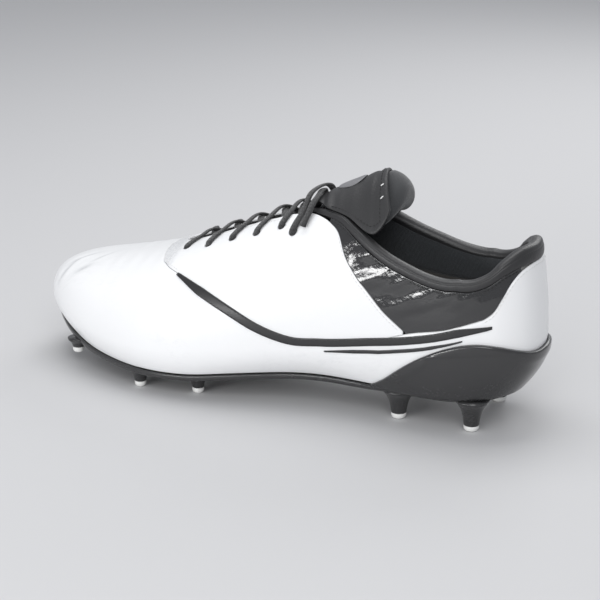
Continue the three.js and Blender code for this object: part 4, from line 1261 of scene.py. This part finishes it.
def cupShare(girths):
    g = twin(girths)
    return 1 - ease(g, 70, 112)


# How far the plate stands out; round the heel it draws in under the cup to a round edge.
def rimGrow(extra, tuck=0.0):
    return lambda girths: plate["rim"] + (plate["cup"] - plate["rim"] - tuck) * cupShare(girths) + extra


# The sole's underside: a raised border, hollowed fields, and a spine along the waist.
def underLift(share):
    def lift(girths):
        along = outlineAt(girths)[0]
        border = ease(share, 0.82, 0.9)
        hollow = 1.1 * (1 - border) * ease(share, 0.12, 0.2)
        waist = ease(along, 84, 100) * (1 - ease(along, 140, 158))
        return plate["bottom"] + hollow - 0.9 * waist * (1 - ease(share, 0.06, 0.2))

    return lift


def makePlate():
    loops = [(steady(0), steady(-0.3), share) for share in (0, 0.5, 0.9)]
    loops += [
        (rimGrow(-1.4), steady(-0.3), 1), (rimGrow(-0.35, 0.4), steady(-0.32), 1),
        (rimGrow(-0.08, 0.6), steady(-0.5), 1), (rimGrow(0.05, 0.8), steady(-1.0), 1),
        (rimGrow(0.1, 1.7), steady(-1.8), 1), (rimGrow(-0.1, 3.2), steady(-2.6), 1),
        (rimGrow(-0.5, 4.6), steady(-3.15), 1), (rimGrow(-1.2, 6.0), steady(-3.45), 1),
        (rimGrow(-2.2, 7.0), steady(-3.5), 1),
    ]
    loops += [(steady(0), underLift(share), share) for share in
              (0.92, 0.9, 0.87, 0.84, 0.81, 0.7, 0.55, 0.4, 0.3, 0.22, 0.18, 0.14, 0.1, 0.05, 0)]
    body = loopBody("sole_body", loops, materials["plateBlack"])

    half = np.concatenate([[0], np.arange(1.2, 104, 1.2), [104]])
    girths = np.concatenate([mirrored(half[:0:-1]), half])
    share = cupShare(girths)
    top = cupTop(girths)
    rise = -1 + (top[:, None] + 1) * np.linspace(0, 1, 40)[None, :]
    perRise = riseScale(girths, np.clip(top, -0.9, 0.9))
    run = np.array([1.4, 0.8, 0.4, 0.15, 0.0])
    below = np.minimum(rise[:, :-1], (top - 1.6 / perRise)[:, None])
    rise = np.maximum(np.concatenate([below, top[:, None] - run / perRise[:, None]], axis=1), -1)
    drop = np.zeros(rise.shape)
    drop[:, -5:] = [0, 0.05, 0.2, 0.5, 1.1]
    swell = 0.35 * np.exp(-(((rise - top[:, None]) * perRise[:, None] + 4.0) / 2.2) ** 2)
    offset = 0.3 + (0.9 + 1.3 * share)[:, None] - drop * (0.5 + 0.5 * share)[:, None] + swell * share[:, None]
    outer = onLast(girths[:, None], rise, offset)
    skirt = np.stack([levelPoint(girths, rimGrow(extra, tuck)(girths), lift) for extra, tuck, lift in
                      ((-0.9, 5.0, -3.2), (-0.1, 2.6, -2.2), (0.05, 1.2, -1.3), (0.08, 0.5, -0.5))], axis=1)
    outer = np.concatenate([skirt, outer], axis=1)
    inner = onLast(girths[:, None], np.concatenate([np.full((len(girths), 4), -1.0), rise], axis=1), 0.3)
    cup = shellPiece("heel_cup", outer, inner, materials["plateBlack"], outer[..., :2])

    studs = [makeStud(*place) for place in plate["studs"]]
    body = joined("stud_plate", [body, cup, *[stud for stud, _ in studs]])
    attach(body, "shoe")
    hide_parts("outsole_plate")
    tips = joined("stud_tips", [tip for _, tip in studs])
    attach(tips, "shoe")
    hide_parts(*[f"stud_tip_{name}" for name, _, _ in plate["studs"]])


def joined(name, pieces):
    bpy.ops.object.select_all(action="DESELECT")
    for piece in pieces:
        piece.select_set(True)
    bpy.context.view_layer.objects.active = pieces[0]
    bpy.ops.object.join()
    pieces[0].name = name
    pieces[0].data.name = name
    return pieces[0]


# Turned solid from (radius, height) points, upright at a place on the sole.
def turnedPiece(name, profile, station, out, material):
    turns = np.linspace(0, 2 * pi, 40, endpoint=False)
    rings = np.array([
        [[station + r * cos(t), out + r * sin(t), z] for t in turns] for r, z in profile
    ])
    return tubePiece(name, rings, material)


def makeStud(name, station, out):
    heel = name.startswith("heel")
    tip, root = (plate["heelTip"], plate["heelRoot"]) if heel else (plate["foreTip"], plate["foreRoot"])
    under = float(smooth(last["feather"], station)) + plate["bottom"]
    ground = under - plate["toeStudHeight"] if station > plate["toeStudsFrom"] else 0
    bottom = ground + plate["studTip"] + 0.1
    tall = under - bottom
    flareOut = 1.8 if heel else 0.5
    profile = [(0.01, bottom), (tip - 0.3, bottom), (tip, bottom + 0.25)]
    for t in np.linspace(0.06, 1, 16):
        taper = tip + (root - tip) * 0.55 * t
        flare = (root + flareOut - tip - (root - tip) * 0.55) * t**3.2
        profile.append((taper + flare, bottom + tall * t))
    profile += [(root + flareOut + 0.3, under + 1.1), (0.01, under + 1.2)]
    stud = turnedPiece(f"stud_{name}", profile, station, out, materials["plateBlack"])
    low = [(0.01, ground), (tip * 0.42, ground), (tip * 0.66, ground + 0.18), (tip * 0.84, ground + 0.6),
           (tip * 0.94, ground + 1.2), (tip * 0.99, ground + 2.1), (tip * 1.0, bottom - 0.25),
           (tip * 0.97, bottom - 0.06), (0.01, bottom - 0.05)]
    return stud, turnedPiece(f"tip_{name}", low, station, out, materials["tipWhite"])


makePlate()
print("plate moulded")

# The flap's face: level along the middle, curve across, sweep of the sides, half width.
tongue = {
    "level": [(72, 128), (84, 123.4), (92, 119.7), (99, 116.2), (106, 112.8), (112, 109.6), (128, 100.5)],
    "crown": [(72, 0.037), (84, 0.04), (98, 0.035), (112, 0.025), (128, 0.02)],
    "sweep": [(84, 4.5), (98, 2), (110, 0)],
    "half": [
        (84, 28), (92, 25.5), (100, 21), (112, 15), (118, 9.6), (124, 8.8), (131, 9.8), (142, 18),
        (165, 21.5), (206, 17),
    ],
    "skin": 1.6,
    "rear": 84,
    "corner": 6,
    "fold": 114.5,
    "padEnd": 82,
    "padRadius": 10,
    "padHeight": 4.4,
    "padHalf": 17.5,
    "patchCentre": 103,
    "patchLength": 7.5,
    "patchHalf": 0.36,
    "bend": (118.5, 110.5),
    "level0": 108,
}


def tongueFace(along, share):
    along, share = np.broadcast_arrays(np.asarray(along, float), np.asarray(share, float))
    corner = np.clip((tongue["rear"] + tongue["corner"] - along) / tongue["corner"], 0, 1)
    trim = tongue["corner"] * (1 - np.sqrt(1 - corner**2))
    out = (smooth(tongue["half"], along) - trim) * share
    station = along - smooth(tongue["sweep"], along) * (share * share + share)
    level = smooth(tongue["level"], station) - smooth(tongue["crown"], station) * out * out
    flap = np.stack([station, smooth(last["spine"], station) + out, level], axis=-1)
    side = np.where(share < 0, -1, 1)
    onFoot = ease(along, 113, 127)[..., None]
    rise = np.minimum(riseAtOut(along, side, np.abs(out)), 1)
    foot = onLast(girthAt(along, side), rise, smooth(lace["tongueDepth"], along))
    return flap * (1 - onFoot) + foot * onFoot


def tonguePoint(along, share, lift):
    forward = tongueFace(along + 0.5, share) - tongueFace(along - 0.5, share)
    across = tongueFace(along, share + 0.05) - tongueFace(along, share - 0.05)
    return tongueFace(along, share) + unit(np.cross(forward, across)) * np.asarray(lift, float)[..., None]


def acrossFold(piece):
    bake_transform(piece)


def makeTongueSkin():
    rear, wide = tongue["rear"], tongue["half"][0][1]
    stations = withEnds(np.arange(rear, 206, 1.1), rear, 205)
    shares = withEnds(np.linspace(-wide, wide, 48), -wide, wide) / wide
    along, share = np.meshgrid(stations, shares, indexing="ij")
    drop = np.zeros(along.shape)
    for rim in (drop[:4].T, drop[-4:][::-1].T, drop[:, :4], drop[:, -4:][:, ::-1]):
        rim[:] = np.maximum(rim, edgeDrop)
    slack = 0.25 * np.sin(along * 0.5 + 2.2 * share) * (1 - ease(along, 96, 106)) * ease(along, 84, 90)
    pull = 0.4 * np.sin(along * 0.9 + 3 * share**2) * ease(along, 103, 110) * (1 - ease(along, 116, 122))
    seam = -0.45 * np.exp(-(((along - 88.5) / 0.7) ** 2))
    outer = tonguePoint(along, share, slack + pull + seam - drop)
    inner = tonguePoint(along, share, -tongue["skin"] + 0 * along)
    flat = np.stack([along, share * wide], axis=-1)
    piece = shellPiece("tongue_skin", outer, inner, materials["tongueBlack"], flat)
    acrossFold(piece)
    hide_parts("tongue_base", "tongue_flap")


def makeTonguePad():
    end, radius, thin = tongue["padEnd"], tongue["padRadius"], tongue["padHeight"]
    behind = end - radius * np.sin(np.linspace(pi / 2 * 0.985, 0, 16))
    stations = np.concatenate([behind, np.arange(end + 1, tongue["fold"] - 1, 1.2)])
    turns = np.linspace(0, 2 * pi, 64, endpoint=False)
    rings = []
    for station in stations:
        past = np.clip((end - station) / radius, 0, 1)
        close = np.sqrt(1 - past * past)
        swell = float(1 - ease(station, end + 1, 94))
        height = (thin + (2 * radius - thin) * swell) * close
        wide = float(smooth(tongue["half"], max(station, 90))) * 0.72
        half = (wide + (tongue["padHalf"] - wide) * swell) * (0.1 + 0.9 * close)
        roof = float(smooth(tongue["level"], max(station, end))) - (tongue["skin"] + gap) * 1.25
        middle = roof - (height / 2 + (radius - height / 2) * swell)
        out = half * np.cos(turns)
        sag = float(smooth(tongue["crown"], station)) * out * out * (1.15 - 0.15 * swell)
        dimple = 0.5 * swell * np.sin(turns * 3 + station * 0.25)
        z = middle - sag + (height / 2 + dimple * close) * np.sin(turns)
        middleOut = float(smooth(last["spine"], station))
        rings.append(np.stack([np.full(len(turns), station), middleOut + out, z], axis=-1))
    rings = np.array(rings)
    flat = np.stack(np.broadcast_arrays(stations[:, None], np.linspace(0, 80, 65)[None, :]), axis=-1)
    flat = flat.reshape(-1, 2)
    piece = tubePiece("tongue_padding", rings, materials["padCloth"], flat)
    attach(piece, "tongue")
    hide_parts("tongue_pad")


def makePatch():
    rows = np.sin(np.linspace(-pi / 2, pi / 2, 30))
    half = tongue["patchHalf"] * np.sqrt(np.maximum(1 - rows**2, 0.0004))
    share = half[:, None] * np.linspace(-1, 1, 24)[None, :]
    along = (tongue["patchCentre"] + tongue["patchLength"] * rows)[:, None] + 0 * share
    inward = 1 - np.sqrt(np.minimum(rows[:, None] ** 2 + (share / tongue["patchHalf"]) ** 2, 1))
    rim = np.minimum(1, 6 * inward)
    outer = tonguePoint(along, share, 0.35 + 0.45 * rim)
    inner = tonguePoint(along, share, 0.1 + 0 * along)
    piece = shellPiece("tongue_badge", outer, inner, materials["patchGrey"])
    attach(piece, "tongue")
    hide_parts("tongue_patch")


makeTongueSkin()
makeTonguePad()
makePatch()
print("tongue padded")

# Millimetres along a row.
stitches = {"spacing": 2.1, "length": 1.5, "radius": 0.2}


# Rows of short stitches along polylines: spacing, length and thickness are the tree's inputs.
def stitchTree():
    tree = bpy.data.node_groups.new("stitch rows", "GeometryNodeTree")
    kinds = {
        "Geometry": "Geometry", "Spacing": "Float", "Length": "Float", "Radius": "Float",
        "Thread": "Material",
    }
    for label, kind in kinds.items():
        tree.interface.new_socket(label, in_out="INPUT", socket_type=f"NodeSocket{kind}")
    tree.interface.new_socket("Geometry", in_out="OUTPUT", socket_type="NodeSocketGeometry")
    given, out = tree.nodes.new("NodeGroupInput").outputs, tree.nodes.new("NodeGroupOutput").inputs
    curve = node(tree, "GeometryNodeMeshToCurve", Mesh=given["Geometry"]).outputs[0]
    spots = node(tree, "GeometryNodeResampleCurve", mode="LENGTH", Curve=curve, Length=given["Spacing"])
    tangent = node(tree, "GeometryNodeInputTangent").outputs[0]
    turned = node(tree, "FunctionNodeAlignRotationToVector", axis="Z", Vector=tangent).outputs[0]
    bead = node(tree, "GeometryNodeMeshUVSphere", Segments=8, Rings=6, Radius=1.0).outputs["Mesh"]
    half = math(tree, "MULTIPLY", given["Length"], 0.5)
    size = node(tree, "ShaderNodeCombineXYZ", X=given["Radius"], Y=given["Radius"], Z=half).outputs[0]
    beads = node(
        tree, "GeometryNodeInstanceOnPoints", Points=spots.outputs[0], Instance=bead, Rotation=turned,
        Scale=size,
    ).outputs[0]
    for kind in ("GeometryNodeSetShadeSmooth", "GeometryNodeRealizeInstances"):
        beads = node(tree, kind, Geometry=beads).outputs[0]
    thread = node(tree, "GeometryNodeSetMaterial", Geometry=beads, Material=given["Thread"])
    tree.links.new(thread.outputs[0], out["Geometry"])
    return tree


stitchRows = stitchTree()


def stitchPiece(name, paths, thread, **sizes):
    values = {**stitches, **sizes}
    points, runs = [], []
    for path in paths:
        start = len(points)
        points += placed(path).tolist()
        runs += [(start + i, start + i + 1) for i in range(len(path) - 1)]
    mesh = bpy.data.meshes.new(name + "_rows")
    mesh.from_pydata(points, runs, [])
    guide = link(bpy.data.objects.new(name + "_rows", mesh))
    modifier = guide.modifiers.new("stitches", "NODES")
    modifier.node_group = stitchRows
    items = stitchRows.interface.items_tree
    sockets = {item.name: item.identifier for item in items if item.in_out == "INPUT"}
    modifier[sockets["Spacing"]] = values["spacing"] / 1000
    modifier[sockets["Length"]] = values["length"] / 1000
    modifier[sockets["Radius"]] = values["radius"] / 1000
    modifier[sockets["Thread"]] = materials[thread]
    bpy.context.view_layer.update()
    made = bpy.data.meshes.new_from_object(guide.evaluated_get(bpy.context.evaluated_depsgraph_get()))
    bpy.data.objects.remove(guide)
    made.name = name
    return link(bpy.data.objects.new(name, made))


def alongEdge(girths, rise, inset, lift):
    return onLast(girths, rise + inset / riseScale(girths, np.minimum(rise, 0.97)), lift)


def makeStitches():
    white, dark = [], []
    lift = 0.12
    for side in (1, -1):
        throat = girthAt(np.arange(131, 195.5, 0.8), side)
        white.append(alongEdge(throat, quarterTop(throat), -2.6, 0.02))
        g = sideGirths(np.arange(84, 120, 1.0), side)
        white.append(alongEdge(g, ankleFront(g), -1.8, 0.02))
        g = sideGirths(np.arange(208, 225.2, 0.5), side)
        white.append(alongEdge(g, edge("vampTop", g), 1.5, 0.33))
        for place, inset in ((-0.5, 0.6), (0.5, -0.6)):
            girth, rise = stripPlaces("upperTape", side, [place * tapes["upper"] + inset], 1.5)
            dark.append(onLast(girth[2:-2, 0], rise[2:-2, 0], 0.78))
        g = sideGirths(np.arange(22, 126, 1.2), side)
        dark.append(alongEdge(g, rimBottom(g), -1.5, 0.1))
    g = np.concatenate([mirrored(np.arange(39, 0, -1.0)), np.arange(0, 39.5, 1.0)])
    white.append(alongEdge(g, heelTop(g), -1.6, 0.14))
    piece = stitchPiece("stitches_pale", white, "threadWhite")
    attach(piece, "shoe")
    piece = stitchPiece("stitches_black", dark, "threadBlack")
    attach(piece, "shoe")
    shares = np.linspace(-0.93, 0.93, 60)
    rear = tonguePoint(np.full(60, 86.2), shares, np.full(60, lift))
    rows = np.arange(87, 109, 1.0)
    sides = [tonguePoint(rows, np.full(22, share), np.full(22, lift)) for share in (-0.93, 0.93)]
    piece = stitchPiece("stitches_tongue", [rear, *sides], "threadBlack")
    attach(piece, "tongue")
    tacks = [tonguePoint(np.array([85.2, 85.5]), np.full(2, share), np.full(2, 0.3)) for share in (0.5, 0.69)]
    piece = stitchPiece("tack_stitches", tacks, "threadWhite", spacing=0.5, length=1.6, radius=0.36)
    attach(piece, "tongue")


makeStitches()
print("seams stitched")


# Pieces that stay as the frame has them get a finish only.
def finishKept():
    kept = {
        "lasting_board": "fibreBoard", "heel_counter": "fibreBoard", "toe_puff": "fibreBoard",
        "collar_foam": "foamGrey", "eyestay_backing_lateral": "backingFelt",
        "eyestay_backing_medial": "backingFelt",
    }
    for name, finish in kept.items():
        piece = bpy.data.objects[name]
        piece.data.materials.clear()
        piece.data.materials.append(materials[finish])


finishKept()

# Places and sizes in metres, power in watts.
studio = {
    "floor": (0.6, 0.6, 0.605),
    "world": 0.5,
    "worldTint": (0.93, 0.95, 1.0),
    "aim": (0, 0, 0.05),
    "lamps": {
        "key": {"place": (-0.3, -1.0, 0.24), "size": (0.7, 0.12), "power": 4.0},
        "side": {"place": (0.45, -0.9, 0.8), "size": (0.6, 0.6), "power": 4.6},
        "top": {"place": (-0.15, 0.2, 0.95), "size": (0.8, 0.6), "power": 3.8},
        "back": {"place": (0.1, 0.9, 0.6), "size": (0.6, 0.5), "power": 2.2},
    },
}


def makeStudio():
    bpy.context.scene.view_settings.view_transform = "Standard"
    bpy.ops.mesh.primitive_plane_add(size=8, location=(0, 0, 0))
    floor = bpy.context.object
    floor.name = "floor"
    paper, _, _ = newMaterial("floorPaper", {"Base Color": (*studio["floor"], 1), "Roughness": 0.7})
    floor.data.materials.append(paper)
    world = bpy.data.worlds.new("studio")
    bpy.context.scene.world = world
    world.use_nodes = True
    world.node_tree.nodes["Background"].inputs[0].default_value = (*studio["worldTint"], 1)
    world.node_tree.nodes["Background"].inputs[1].default_value = studio["world"]
    for name, lamp in studio["lamps"].items():
        data = bpy.data.lights.new(name, "AREA")
        data.shape = "RECTANGLE"
        data.size, data.size_y = lamp["size"]
        data.energy = lamp["power"]
        light = link(bpy.data.objects.new(name, data))
        light.location = lamp["place"]
        toShoe = Vector(studio["aim"]) - Vector(lamp["place"])
        light.rotation_euler = toShoe.to_track_quat("-Z", "Y").to_euler()


makeStudio()
print("studio lit")
